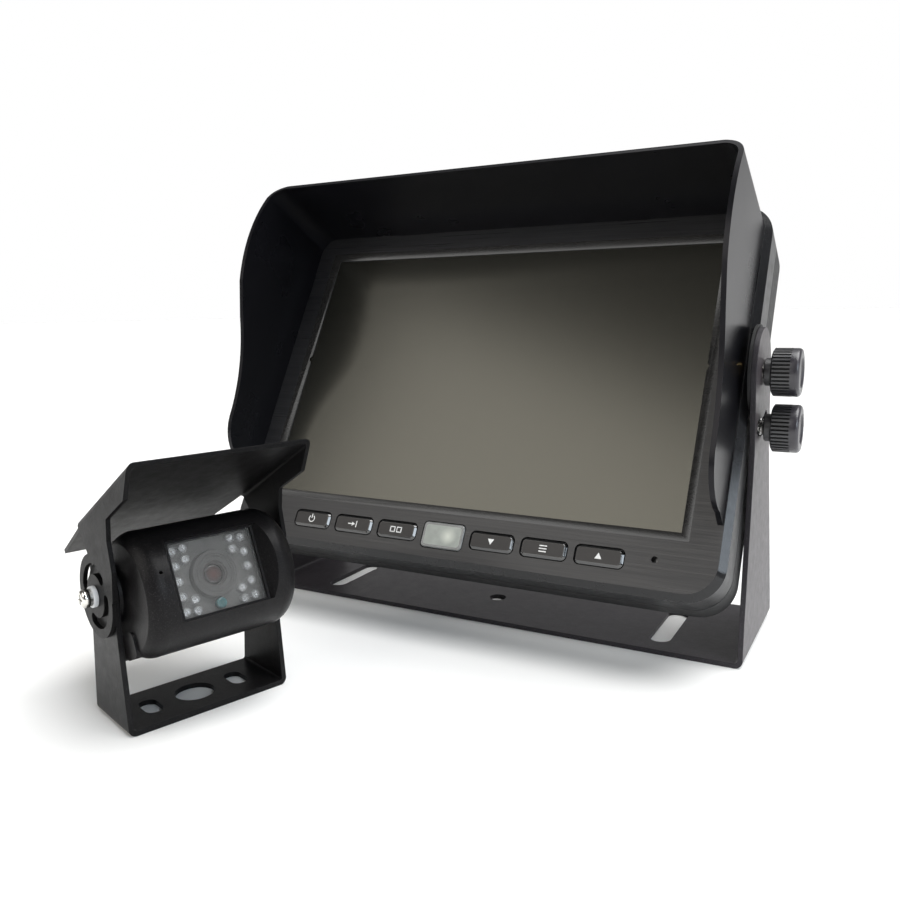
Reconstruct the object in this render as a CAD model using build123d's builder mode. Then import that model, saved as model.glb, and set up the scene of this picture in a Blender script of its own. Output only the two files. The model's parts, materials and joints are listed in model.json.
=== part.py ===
from build123d import *
from math import cos, radians, sin
import os

os.makedirs("parts", exist_ok=True)

# Fits and common clearances
slip = 0.25            # between mating mouldings
running = 0.05         # radial, a shaft turning in its bore
sheet_gap = 0.1        # between flat faces that slide on each other
seat_gap = 0.05        # between two parts screwed or glued together
hole_gap = 0.2         # radial, a screw or stud through sheet metal

# Monitor bracket: X across, Y to the back, Z up, foot centred on the origin
steel = 1.6
foot_depth = 54.0
bend = 2.6
pivot_y = -10.6
swing_clear = 15.8     # under the head when it hangs upright
pad_thick = 0.8
ear_radius = 13.5
foot_slot_x = 65.5
foot_slot_y = -4.5
foot_slot_length = 31.0
foot_slot_width = 7.0
foot_hole_radius = 3.1
leg_back_z = 8.0       # heights and reaches of the corners of a leg's outline
leg_back_in = 2.0
leg_front_z = 14.0
leg_front_in = 0.5
ear_back_drop = 26.0
ear_back_reach = 17.5
ear_front_drop = 24.0
ear_front_reach = 10.5
slot_swing = 42.0      # arc of the locking slot, degrees
slot_lean = 5.0        # the slot reaches further to the back than to the front

# Monitor head: local x across, y up the screen, z out of it, origin on the tilt axis
head_tilt = 29.65
face_out = 4.15
head_width = 182.0
head_top = 58.9
head_bottom = -74.0
head_corner = 11.5
bevel = 2.1
wall = 2.3
face_wall = 2.4
parting = -8.7
parting_groove = 0.35
head_back = -24.0
back_round = 5.0
side_rib_in = 3.4      # rib behind each slot row of the bezel's sides
side_rib_width = 8.0
side_rib_length = 31.0
side_rib_mid = -9.0
insert_boss = 2.2      # wall of the boss round each insert
board_post_radius = 2.4
board_post_gap = 1.7   # between the left post and the outermost cap
board_post_drop = 3.6
board_post_past = 1.8  # from the microphone to the right post
button_board_drop = 5.6
button_board_end = 2.5
button_board_height = 11.6

# Screen
side_border = 13.95     # from the head's outline to the visible screen
top_border = 14.4
bottom_border = 20.2
rim_width = 2.75
rim_depth = 1.0
glass_front = 2.7
glass_thick = 1.1
glass_margin = 1.6
panel_thick = 3.0
tray_thick = 0.8

# Buttons in a row under the screen, from the left
button_space = 2.6
button_rise = 9.8      # above the head's lower edge
button_width = 15.4
button_height = 6.0
button_corner = 1.7
button_proud = 0.7
button_travel = 0.5
button_names = {-3: "power", -2: "input", -1: "split", 1: "down", 2: "menu", 3: "up"}
window_width = 15.4
window_height = 8.8
window_corner = 1.5
mic_gap = 8.3          # from the outermost cap
mic_rise = 1.2
mic_hole_radius = 1.0
switch_size = 6.0
switch_height = 1.8
switch_plunger = 0.8
plunger_radius = 1.6
cap_flange = 0.8       # thickness and reach of the rim behind the bezel
cap_flange_out = 0.7
cap_bevel = 0.75
cap_stem = 1.3
window_proud = 0.3
receiver_width = 7.0
receiver_height = 5.6
receiver_thick = 2.0
receiver_dome = 2.2
mic_radius = 2.0
mic_port = 0.7
board_thick = 1.6

# Sun visor
visor_in = 2.5         # inside the head's outline
visor_drop = 2.6
visor_thick = 1.5
visor_corner = 8.0
visor_lean = 1.7       # sides and top close in towards the front, degrees
visor_blank = 48.0     # length before the outline is cut
visor_top_reach = 39.8
brow_drop = 1.3
cheek = (-42.0, 13)    # corners of the side's outline, to the front and up
waist = (-36.0, 1)
lobe = (-25.4, -34)
heel = (-10, -48.4)
visor_foot = -50.6
tab_depth = 3.4
tab_length = 12.0
top_tab_x = 45.0
side_tab_y = (32.0, -34.0)

# Knobs, studs and threaded inserts
stud_radius = 2.5
insert_wall = 0.9
insert_length = 7.0
knob_radius = 7.3
knob_length = 8.2
collar_wall = 1.75
knob_space = 2.4       # between the rims of the upper and the lower knob
collar_length = 2.2
upper_knob_gap = 0.4
lower_knob_gap = 1.0
knob_ribs = 24
rib_groove_radius = 0.75
rib_groove_out = 0.35
knob_smooth_rim = 2.6
knob_round = 1.2
stud_in_knob = 4.0

# Rear of the monitor
post_radius = 3.3
post_in = 7.5
post_down = 6.3
screw_radius = 1.5
screw_head = 2.9
screw_head_long = 2.0
screw_sink = 4.0
screw_bite = 6.0
cross_length = 3.2
cross_width = 0.7
cross_depth = 1.0
vent_y = 34.0
vent_pitch_x = 32.0
vent_pitch_y = 6.0
vent_length = 26.0
vent_width = 2.4
speaker_hole = 1.1
speaker_rings = ((4.2, 6), (8.0, 12))
gland_neck = 5.8       # hole in the shell
gland_flange = 8.0
gland_flange_thick = 2.2
gland_nose = 5.4
gland_nose_long = 6.0
board_hole_inset = 5.0
board_post = 2.6
main_board_w = 128.0
main_board_h = 78.0
main_board_back = -14.0
board_screw = 1.2
board_screw_head = 2.4
board_screw_head_long = 1.5
chips = (((-10, 8), 18, 18), ((24, 10), 12, 9), ((24, -12), 12, 9), ((-40, -8), 9, 14))
chip_thick = 1.4
socket_y = -30.0
socket_width = 20.0
socket_height = 8.0
socket_thick = 4.5
gland_y = -44.0
gland_hole = 2.6
speaker_x = -46.0
speaker_y = -56.0
speaker_radius = 11.5
speaker_frame = 1.6
speaker_magnet = 7.5
speaker_magnet_long = 3.2

# Camera unit: its own bracket, standing in front of the monitor's left side
cam_x = -44.5
cam_y = -116.1
cam_yaw = 71.5
cam_steel = 1.5
cam_foot_depth = 23.0
cam_leg_outer = 24.0
cam_bend = 2.2
cam_pivot_z = 37.0
cam_ear = 8.7
cam_slot_x = 13.2
cam_slot_length = 9.0
cam_slot_width = 5.0
cam_hole_radius = 5.6
cam_tilt = 24.0

# Camera housing: drum in front, box behind, origin on its tilt axis
drum_radius = 17.0
drum_end_radius = 14.2
drum_y = -3.2
drum_out = 8.8
drum_side_gap = 1.2    # between the drum's end and the leg
drum_end = 5.3
drum_round_x = 3.6
drum_round_y = 0.9
box_side_gap = 2.1
box_top = 12.6
box_bottom = -18.4
box_back = -13.0
cam_wall = 2.0
boss_radius = 8.2
boss_gap = 0.3         # between a boss and the leg beside it
lug_back = -5.5
lug_up = -15.5
lug_length = 8.0
lug_height = 7.0
cover_post = 2.1
cover_post_long = 8.0
cover_screw_bite = 5.0
cover_screw_in = 3.8
nut_boss = 3.6
nut_boss_long = 4.0
box_corner = 3.0
window_open_w = 24.0
window_open_h = 20.0
window_rim = 3.0
window_rim_y = 1.4
window_lap = 1.2       # glass hidden behind the ledge on each side
rebate_spare = 0.7
peep_out = 2.2         # pinhole beside the window
peep_up = 2.6
peep_radius = 0.45
window_ledge = 0.8
window_front = 20.0
window_glass_thick = 1.0
gasket_thick = 0.4
cover_thick = 2.0
cover_chamfer = 0.8
cover_screw = 1.0
cover_screw_head = 1.8
cover_screw_head_long = 1.2
seal_thick = 0.8
seal_in = 0.3
inlet_drop = 4.0       # cable inlet below the middle of the cover
inlet_neck = 3.4
inlet_hole = 1.7
inlet_nut = 5.0
inlet_nut_thick = 2.6
inlet_cap = 3.9
inlet_cap_long = 3.6

# Camera window contents
led_radius = 1.45
led_board_front = 16.6
led_board_thick = 0.8
lens_radius = 6.4
lens_front = 18.6
lens_glass_radius = 2.9
led_side = 2.0         # from the window's side to the outer column
led_edge = 0.35
led_column = 3.1
led_inner_down = (1.5, 4.5)
sensor_radius = 1.5
sensor_board_back = 4.2
sensor_board_thick = 1.2
sensor_board_height = 20.0
chip_side = 9.0
lens_mouth = 4.6
lens_mouth_deep = 0.8
lens_glass_long = 2.6
lens_seat_deep = 3.9
led_board_lap_x = 1.0
led_board_lap_y = 0.8
spacer_in_x = 2.0
spacer_in_y = 2.8
spacer_radius = 1.2
led_long = 2.2
sensor_long = 1.6

# Camera visor and its screws
hood_lean = 4.5
hood_thick = 1.2
hood_top = 21.2
hood_reach = 43.3
hood_bend = 2.0
tail_reach = 30.0      # the top sheet ends in a tapered tail over the housing
tail_taper = 4.5
disc_radius = 11.4
arc_slot_radius = 7.4
arc_slot_width = 3.0
cam_screw_radius = 1.25
cam_screw_head = 2.5
cam_screw_head_long = 2.0
cam_cross_length = 2.8
cam_cross_width = 0.55
nylon_radius = 2.9
nylon_thick = 1.3
spring_radius = 2.3
spring_thick = 0.6

# Sizes that follow from the ones above
half_width = head_width / 2
head_mid = (head_top + head_bottom) / 2
head_height = head_top - head_bottom
pivot_z = swing_clear - head_bottom
leg_inner = half_width + sheet_gap + pad_thick
leg_outer = leg_inner + steel
knob_spacing = 2 * knob_radius + knob_space
pad_radius = knob_spacing - stud_radius - sheet_gap
insert_radius = stud_radius + insert_wall
collar_radius = stud_radius + collar_wall
aperture_width = head_width - 2 * side_border
aperture_height = head_height - top_border - bottom_border
aperture_mid = head_mid + (bottom_border - top_border) / 2
button_pitch = button_width + button_space
button_y = head_bottom + button_rise
row_end = max(button_names) * button_pitch + button_width / 2 + cap_flange_out
mic_x = row_end + mic_gap
mic_y = button_y + mic_rise
board_post_x = (-row_end - board_post_gap - board_post_radius, mic_x + board_post_past)
button_board_width = board_post_x[1] - board_post_x[0] + 2 * button_board_end
button_board_x = (board_post_x[0] + board_post_x[1]) / 2
post_x = half_width - post_in
post_top = head_top - post_down
post_bottom = head_bottom + post_in
visor_half = half_width - visor_in
visor_top = head_top - visor_drop
above_visor = visor_top + 6
brow = (-visor_top_reach, visor_top - brow_drop)
cam_leg_inner = cam_leg_outer - cam_steel
drum_half = cam_leg_inner - drum_side_gap
drum_flat = drum_half - drum_end
box_half = cam_leg_inner - box_side_gap
cover_screw_x = box_half - cover_screw_in
hood_half = cam_leg_outer + boss_gap + hood_thick
tail_half = hood_half - tail_taper
peep_x = -window_open_w / 2 - window_rim - peep_out
led_outer_x = window_open_w / 2 - led_side
led_outer_step = (window_open_h / 2 - led_edge - led_radius) / 2
led_inner = [(led_outer_x - led_column, window_open_h / 2 - down) for down in led_inner_down]
led_board_width = window_open_w + 2 * led_board_lap_x
led_board_height = window_open_h + 2 * led_board_lap_y
spacer_x = led_board_width - 2 * spacer_in_x
spacer_y = led_board_height - 2 * spacer_in_y

# Directions and planes
tilt = radians(head_tilt)
out_dir = Vector(0, -cos(tilt), sin(tilt))
head = Plane(origin=(0, pivot_y, pivot_z), x_dir=(1, 0, 0), z_dir=out_dir)
head_side = Plane(origin=head.origin, x_dir=-out_dir, z_dir=(1, 0, 0))   # x to the back, y up
head_axis = Axis(head.origin, out_dir)
lower_back = knob_spacing * sin(tilt)
lower_down = -knob_spacing * cos(tilt)
insert_spots = [(0, 0), (lower_back, lower_down)]
face_inner = face_out - face_wall

# Monitor bracket: a U of sheet steel, its legs tapering up to round ears
with BuildPart() as monitor_bracket:
    with BuildSketch(Plane.XZ):
        with BuildSketch(mode=Mode.PRIVATE) as u_inside:
            with Locations((0, steel + pivot_z)):
                Rectangle(2 * leg_inner, 2 * pivot_z)
            fillet(u_inside.vertices().group_by(Axis.Y)[0], bend - steel)
        with BuildSketch(mode=Mode.PRIVATE) as u_outside:
            with Locations((0, pivot_z)):
                Rectangle(2 * leg_outer, 2 * pivot_z)
            fillet(u_outside.vertices().group_by(Axis.Y)[0], bend)
        add(u_outside.sketch)
        add(u_inside.sketch, mode=Mode.SUBTRACT)
    extrude(amount=foot_depth / 2, both=True)
    with BuildSketch(Plane.YZ):
        with BuildLine():
            Polyline(
                (-foot_depth / 2, 0),
                (foot_depth / 2, 0),
                (foot_depth / 2 - leg_back_in, leg_back_z),
                (pivot_y + ear_back_reach, pivot_z - ear_back_drop),
                (pivot_y + ear_radius, pivot_z),
                (pivot_y - ear_radius, pivot_z),
                (pivot_y - ear_front_reach, pivot_z - ear_front_drop),
                (-foot_depth / 2 + leg_front_in, leg_front_z),
                close=True,
            )
        make_face()
        with Locations((pivot_y, pivot_z)):
            Circle(ear_radius)
    extrude(amount=leg_outer + 1, both=True, mode=Mode.INTERSECT)
    with BuildSketch(Plane.YZ):
        with Locations((pivot_y, pivot_z)):
            Circle(stud_radius + hole_gap)
        with BuildLine(mode=Mode.PRIVATE) as swing:
            CenterArc((pivot_y, pivot_z), knob_spacing, -90 + slot_lean - slot_swing / 2, slot_swing)
        SlotArc(swing.edge(), 2 * (stud_radius + hole_gap))
    extrude(amount=leg_outer + 1, both=True, mode=Mode.SUBTRACT)
    with BuildSketch(Plane.XY):
        with Locations((0, foot_slot_y)):
            Circle(foot_hole_radius)
            with GridLocations(2 * foot_slot_x, 1, 2, 1):
                SlotOverall(foot_slot_length, foot_slot_width, rotation=90)
    extrude(amount=steel, mode=Mode.SUBTRACT)
monitor_bracket.part.label = "monitor_bracket"
export_step(monitor_bracket.part, "parts/monitor_bracket.step")

# Round pads between the ears and the head
with BuildPart() as friction_pads:
    with BuildSketch(Plane.YZ.offset(half_width + sheet_gap)):
        with Locations((pivot_y, pivot_z)):
            Circle(pad_radius)
            Circle(stud_radius + hole_gap, mode=Mode.SUBTRACT)
        with BuildLine(mode=Mode.PRIVATE) as pad_swing:
            CenterArc((pivot_y, pivot_z), knob_spacing, -90 + slot_lean - slot_swing / 2, slot_swing)
        SlotArc(pad_swing.edge(), 2 * (stud_radius + hole_gap), mode=Mode.SUBTRACT)
    extrude(amount=pad_thick)
    mirror(about=Plane.YZ)
friction_pads.part.label = "friction_pads"
export_step(friction_pads.part, "parts/friction_pads.step")

# Front bezel: bevelled frame with a sloped rim round the glass
button_spots = [(step * button_pitch, button_y) for step in button_names]
post_spots = [(x, y) for x in (-post_x, post_x) for y in (post_top, post_bottom)]
board_post_spots = [(board_post_x[0], button_y), (board_post_x[1], button_y - board_post_drop)]
top_slot_spots = [(-top_tab_x, visor_top - visor_thick / 2), (top_tab_x, visor_top - visor_thick / 2)]
side_slot_x = visor_half - visor_thick / 2
side_slot_spots = [(side * side_slot_x, y) for side in (-1, 1) for y in side_tab_y]
button_board_front = face_inner - button_board_drop
with BuildPart() as front_bezel:
    with BuildSketch(head.offset(parting)):
        with Locations((0, head_mid)):
            RectangleRounded(head_width, head_height, head_corner)
    extrude(amount=face_out - parting)
    chamfer(front_bezel.faces().sort_by(head_axis)[-1].edges(), bevel)
    with BuildSketch(head.offset(parting)):
        with Locations((0, head_mid)):
            RectangleRounded(head_width - 2 * wall, head_height - 2 * wall, head_corner - wall)
    extrude(amount=face_inner - parting, mode=Mode.SUBTRACT)
    for side in (-1, 1):
        with BuildSketch(head.offset(face_inner)):
            with Locations((side * (half_width - wall - side_rib_in), side_rib_mid)):
                Rectangle(side_rib_width, side_rib_length)
        extrude(amount=parting - face_inner)
        with BuildSketch(head_side.offset(side * (half_width - 0.2))):
            with Locations((lower_back, lower_down)):
                Circle(insert_radius + insert_boss)
        extrude(amount=-side * (insert_length + 2.0))
    with BuildSketch(head.offset(face_inner)):
        with Locations(*post_spots):
            Circle(post_radius)
    extrude(amount=parting - face_inner)
    with BuildSketch(head.offset(parting)):
        with Locations(*post_spots):
            Circle(screw_radius + running)
    extrude(amount=screw_bite + 1, mode=Mode.SUBTRACT)
    with BuildSketch(head.offset(face_inner)):
        with Locations(*board_post_spots):
            Circle(board_post_radius)
    extrude(amount=button_board_front - face_inner)
    with BuildSketch(head.offset(face_out)):
        with Locations((0, aperture_mid)):
            Rectangle(aperture_width + 2 * rim_width, aperture_height + 2 * rim_width)
    with BuildSketch(head.offset(face_out - rim_depth)):
        with Locations((0, aperture_mid)):
            Rectangle(aperture_width, aperture_height)
    loft(mode=Mode.SUBTRACT)
    with BuildSketch(head.offset(face_out)):
        with Locations((0, aperture_mid)):
            Rectangle(aperture_width, aperture_height)
    extrude(amount=-face_wall - 0.5, mode=Mode.SUBTRACT)
    with BuildSketch(head.offset(glass_front)):
        with Locations((0, aperture_mid)):
            Rectangle(aperture_width + 2 * (glass_margin + slip), aperture_height + 2 * (glass_margin + slip))
    extrude(amount=-2.0, mode=Mode.SUBTRACT)
    with BuildSketch(head.offset(face_out)):
        with Locations(*button_spots):
            RectangleRounded(button_width + 2 * slip, button_height + 2 * slip, button_corner + slip)
        with Locations((0, button_y)):
            RectangleRounded(window_width + 2 * slip, window_height + 2 * slip, window_corner + slip)
        with Locations((mic_x, mic_y)):
            Circle(mic_hole_radius)
        with Locations(*top_slot_spots):
            Rectangle(tab_length + 2 * slip, visor_thick + 2 * sheet_gap)
        with Locations(*side_slot_spots):
            Rectangle(visor_thick + 2 * sheet_gap, tab_length + 2 * slip)
    extrude(amount=-face_wall - 0.2, mode=Mode.SUBTRACT)
    with BuildSketch(head_side):
        with Locations(*insert_spots):
            Circle(insert_radius)
    extrude(amount=half_width + 1, both=True, mode=Mode.SUBTRACT)
front_bezel.part.label = "front_bezel"
export_step(front_bezel.part, "parts/front_bezel.step")

# Threaded inserts moulded into the bezel's sides
with BuildPart() as thread_inserts:
    with BuildSketch(head_side.offset(half_width - insert_length)):
        with Locations(*insert_spots):
            Circle(insert_radius - 0.02)
            Circle(stud_radius + running, mode=Mode.SUBTRACT)
    extrude(amount=insert_length - 0.1)
    mirror(about=Plane.YZ)
thread_inserts.part.label = "thread_inserts"
export_step(thread_inserts.part, "parts/thread_inserts.step")

# Rear shell with vents, speaker holes, screw columns and the cable inlet
shell_front = parting - parting_groove
back_inner = head_back + wall
board_hole_x = main_board_w / 2 - board_hole_inset
board_hole_y = main_board_h / 2 - board_hole_inset
board_spots = [(x, y) for x in (-board_hole_x, board_hole_x) for y in (-board_hole_y, board_hole_y)]
with BuildPart() as rear_shell:
    with BuildSketch(head.offset(shell_front)):
        with Locations((0, head_mid)):
            RectangleRounded(head_width, head_height, head_corner)
    extrude(amount=head_back - shell_front)
    fillet(rear_shell.faces().sort_by(head_axis)[0].edges(), back_round)
    with BuildSketch(head.offset(shell_front)):
        with Locations((0, head_mid)):
            RectangleRounded(head_width - 2 * wall, head_height - 2 * wall, head_corner - wall)
    extrude(amount=back_inner - shell_front, mode=Mode.SUBTRACT)
    with BuildSketch(head.offset(back_inner)):
        with Locations(*post_spots):
            Circle(post_radius)
        with Locations(*board_spots):
            Circle(board_post)
    extrude(amount=shell_front - back_inner)
    with BuildSketch(head.offset(main_board_back)):
        with Locations(*board_spots):
            Circle(board_post + 0.4)
    extrude(amount=shell_front - main_board_back, mode=Mode.SUBTRACT)
    with BuildSketch(head.offset(head_back)):
        with Locations(*post_spots):
            Circle(screw_radius + hole_gap)
    extrude(amount=shell_front - head_back, mode=Mode.SUBTRACT)
    with BuildSketch(head.offset(head_back)):
        with Locations(*post_spots):
            Circle(screw_head + slip)
    extrude(amount=screw_sink, mode=Mode.SUBTRACT)
    with BuildSketch(head.offset(head_back)):
        with Locations((0, vent_y)):
            with GridLocations(vent_pitch_x, vent_pitch_y, 3, 4):
                SlotOverall(vent_length, vent_width)
        with Locations((speaker_x, speaker_y)):
            for ring_radius, ring_count in speaker_rings:
                with PolarLocations(ring_radius, ring_count):
                    Circle(speaker_hole)
            Circle(speaker_hole)
        with Locations((0, gland_y)):
            Circle(gland_neck)
    extrude(amount=wall, mode=Mode.SUBTRACT)
    with BuildSketch(head_side):
        with Locations((lower_back, lower_down)):
            Circle(insert_radius + insert_boss + slip)
    extrude(amount=half_width + 1, both=True, mode=Mode.SUBTRACT)
rear_shell.part.label = "rear_shell"
export_step(rear_shell.part, "parts/rear_shell.step")

# Screws that hold the two shells together, heads sunk in the back
screw_seat = head_back + screw_sink
with BuildPart() as housing_screws:
    with BuildSketch(head.offset(screw_seat - seat_gap)):
        with Locations(*post_spots):
            Circle(screw_head)
    extrude(amount=-screw_head_long)
    chamfer(housing_screws.faces().group_by(head_axis)[0].edges(), 0.6)
    with BuildSketch(head.offset(screw_seat - seat_gap)):
        with Locations(*post_spots):
            Circle(screw_radius)
    extrude(amount=parting + screw_bite - screw_seat)
    with BuildSketch(head.offset(screw_seat - seat_gap - screw_head_long)):
        with Locations(*post_spots):
            Rectangle(cross_length, cross_width)
            Rectangle(cross_width, cross_length)
    extrude(amount=cross_depth, mode=Mode.SUBTRACT)
housing_screws.part.label = "housing_screws"
export_step(housing_screws.part, "parts/housing_screws.step")

# Cable gland of the monitor: a flanged rubber grommet
with BuildPart() as monitor_gland:
    with BuildSketch(head.offset(back_inner + 1.5)):
        with Locations((0, gland_y)):
            Circle(gland_neck - 0.1)
    extrude(amount=-wall - 1.6)
    with BuildSketch(head.offset(head_back - seat_gap)):
        with Locations((0, gland_y)):
            Circle(gland_flange)
    extrude(amount=-gland_flange_thick)
    with BuildSketch(head.offset(head_back - gland_flange_thick)):
        with Locations((0, gland_y)):
            Circle(gland_nose)
    extrude(amount=-gland_nose_long, taper=8)
    with BuildSketch(head.offset(back_inner + 2)):
        with Locations((0, gland_y)):
            Circle(gland_hole)
    extrude(amount=-20.0, mode=Mode.SUBTRACT)
monitor_gland.part.label = "monitor_gland"
export_step(monitor_gland.part, "parts/monitor_gland.step")

# Cover glass, panel and metal tray
with BuildPart() as screen_glass:
    with BuildSketch(head.offset(glass_front)):
        with Locations((0, aperture_mid)):
            Rectangle(aperture_width + 2 * glass_margin, aperture_height + 2 * glass_margin)
    extrude(amount=-glass_thick)
screen_glass.part.label = "screen_glass"
export_step(screen_glass.part, "parts/screen_glass.step")

panel_front = glass_front - glass_thick - seat_gap
with BuildPart() as lcd_panel:
    with BuildSketch(head.offset(panel_front)):
        with Locations((0, aperture_mid)):
            Rectangle(aperture_width + 2, aperture_height + 2)
    extrude(amount=-panel_thick)
lcd_panel.part.label = "lcd_panel"
export_step(lcd_panel.part, "parts/lcd_panel.step")

tray_back = panel_front - panel_thick - seat_gap - tray_thick
with BuildPart() as lcd_tray:
    with BuildSketch(head.offset(tray_back)):
        with Locations((0, aperture_mid)):
            Rectangle(aperture_width + 4.4, aperture_height + 4.4)
    extrude(amount=face_inner - 0.3 - tray_back)
    with BuildSketch(head.offset(tray_back + tray_thick)):
        with Locations((0, aperture_mid)):
            Rectangle(aperture_width + 2.6, aperture_height + 2.6)
    extrude(amount=face_inner - tray_back, mode=Mode.SUBTRACT)
lcd_tray.part.label = "lcd_tray"
export_step(lcd_tray.part, "parts/lcd_tray.step")

# Main board on its posts, with chips and sockets
with BuildPart() as main_board:
    with BuildSketch(head.offset(main_board_back + seat_gap)):
        RectangleRounded(main_board_w, main_board_h, 2.0)
        with Locations(*board_spots):
            Circle(board_screw + 0.1, mode=Mode.SUBTRACT)
    extrude(amount=board_thick)
    with BuildSketch(head.offset(main_board_back + seat_gap + board_thick)):
        for spot, chip_width, chip_height in chips:
            with Locations(spot):
                Rectangle(chip_width, chip_height)
    extrude(amount=chip_thick)
    with BuildSketch(head.offset(main_board_back + seat_gap)):
        with Locations((0, socket_y)):
            Rectangle(socket_width, socket_height)
    extrude(amount=-socket_thick)
main_board.part.label = "main_board"
export_step(main_board.part, "parts/main_board.step")

board_screw_top = main_board_back + 2 * seat_gap + board_thick
with BuildPart() as board_screws:
    with BuildSketch(head.offset(board_screw_top)):
        with Locations(*board_spots):
            Circle(board_screw_head)
    extrude(amount=board_screw_head_long)
    with BuildSketch(head.offset(board_screw_top)):
        with Locations(*board_spots):
            Circle(board_screw)
    extrude(amount=-board_thick - seat_gap)
board_screws.part.label = "board_screws"
export_step(board_screws.part, "parts/board_screws.step")

with BuildPart() as speaker:
    with BuildSketch(head.offset(back_inner + sheet_gap)):
        with Locations((speaker_x, speaker_y)):
            Circle(speaker_radius)
    extrude(amount=speaker_frame)
    with BuildSketch(head.offset(back_inner + sheet_gap + speaker_frame)):
        with Locations((speaker_x, speaker_y)):
            Circle(speaker_magnet)
    extrude(amount=speaker_magnet_long)
speaker.part.label = "speaker"
export_step(speaker.part, "parts/speaker.step")

# Button board with its switches, receiver and microphone
with BuildPart() as button_board:
    with BuildSketch(head.offset(button_board_front - seat_gap)):
        with Locations((button_board_x, button_y)):
            Rectangle(button_board_width, button_board_height)
    extrude(amount=-board_thick)
button_board.part.label = "button_board"
export_step(button_board.part, "parts/button_board.step")

cap_back = face_inner - cap_flange - sheet_gap
stem_end = button_board_front + switch_height + switch_plunger + sheet_gap + button_travel
with BuildPart() as tact_switches:
    with BuildSketch(head.offset(button_board_front)):
        with Locations(*button_spots):
            RectangleRounded(switch_size, switch_size, 0.6)
    extrude(amount=switch_height)
    with BuildSketch(head.offset(button_board_front + switch_height)):
        with Locations(*button_spots):
            Circle(plunger_radius)
    extrude(amount=switch_plunger)
tact_switches.part.label = "tact_switches"
export_step(tact_switches.part, "parts/tact_switches.step")

with BuildPart() as ir_receiver:
    with BuildSketch(head.offset(button_board_front)):
        with Locations((0, button_y)):
            RectangleRounded(receiver_width, receiver_height, 0.5)
    extrude(amount=receiver_thick)
    with BuildSketch(head.offset(button_board_front)):
        with Locations((0, button_y)):
            Circle(receiver_dome)
    extrude(amount=2 * receiver_thick, taper=8)
ir_receiver.part.label = "ir_receiver"
export_step(ir_receiver.part, "parts/ir_receiver.step")

with BuildPart() as microphone:
    with BuildSketch(head.offset(button_board_front)):
        with Locations((mic_x, mic_y)):
            Circle(mic_radius)
    extrude(amount=face_inner - 0.3 - button_board_front)
    with BuildSketch(head.offset(face_inner - 0.3)):
        with Locations((mic_x, mic_y)):
            Circle(mic_port)
    extrude(amount=-0.5, mode=Mode.SUBTRACT)
microphone.part.label = "microphone"
export_step(microphone.part, "parts/microphone.step")

with BuildPart() as ir_window:
    with BuildSketch(head.offset(cap_back)):
        with Locations((0, button_y)):
            RectangleRounded(window_width + 2 * cap_flange_out, window_height + 2 * cap_flange_out, button_corner)
    extrude(amount=cap_flange)
    with BuildSketch(head.offset(cap_back + cap_flange)):
        with Locations((0, button_y)):
            RectangleRounded(window_width, window_height, window_corner)
    extrude(amount=face_out + window_proud - cap_back - cap_flange)
    chamfer(ir_window.faces().sort_by(head_axis)[-1].edges(), 0.25)
ir_window.part.label = "ir_window"
export_step(ir_window.part, "parts/ir_window.step")

# Six caps: flange behind the bezel, bevelled face, stem over its switch
for step, word in button_names.items():
    with BuildPart() as button:
        with BuildSketch(head.offset(cap_back)):
            with Locations((step * button_pitch, button_y)):
                Rectangle(button_width + 2 * cap_flange_out, button_height + 2 * cap_flange_out)
        extrude(amount=cap_flange)
        with BuildSketch(head.offset(cap_back + cap_flange)):
            with Locations((step * button_pitch, button_y)):
                RectangleRounded(button_width, button_height, button_corner)
        extrude(amount=face_out + button_proud - cap_back - cap_flange)
        chamfer(button.faces().sort_by(head_axis)[-1].edges(), cap_bevel)
        with BuildSketch(head.offset(cap_back)):
            with Locations((step * button_pitch, button_y)):
                Circle(cap_stem)
        extrude(amount=stem_end - cap_back)
    button.part.label = f"button_{word}"
    export_step(button.part, f"parts/button_{word}.step")

# Sun visor: a bent hood that plugs into four slots of the bezel
with BuildPart() as sun_visor:
    with BuildSketch(head.offset(face_out + seat_gap)) as visor_outside:
        with Locations((0, visor_top - head_height / 2)):
            Rectangle(2 * visor_half, head_height)
        fillet(visor_outside.vertices().group_by(Axis.Y)[-1], visor_corner)
    extrude(amount=visor_blank, taper=visor_lean)
    with BuildSketch(head.offset(face_out + seat_gap)) as visor_inside:
        with Locations((0, visor_top - visor_thick - 0.75 * head_height)):
            Rectangle(2 * (visor_half - visor_thick), 1.5 * head_height)
        fillet(visor_inside.vertices().group_by(Axis.Y)[-1], visor_corner - visor_thick)
    extrude(amount=visor_blank, taper=visor_lean, mode=Mode.SUBTRACT)
    with BuildSketch(head_side):
        with BuildLine():
            Line((-face_out, above_visor), (-visor_top_reach, above_visor))
            Line((-visor_top_reach, above_visor), brow)
            ThreePointArc(brow, (-44.8, 35), cheek)
            Line(cheek, waist)
            ThreePointArc(waist, (-29.0, -14), lobe)
            ThreePointArc(lobe, (-20.6, -44.4), heel)
            Line(heel, (-face_out, visor_foot))
            Line((-face_out, visor_foot), (-face_out, above_visor))
        make_face()
    extrude(amount=visor_half + 2, both=True, mode=Mode.INTERSECT)
    with BuildSketch(head.offset(face_out + seat_gap)):
        with Locations(*top_slot_spots):
            Rectangle(tab_length, visor_thick)
        with Locations(*side_slot_spots):
            Rectangle(visor_thick, tab_length)
    extrude(amount=-tab_depth)
sun_visor.part.label = "sun_visor"
export_step(sun_visor.part, "parts/sun_visor.step")

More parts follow.
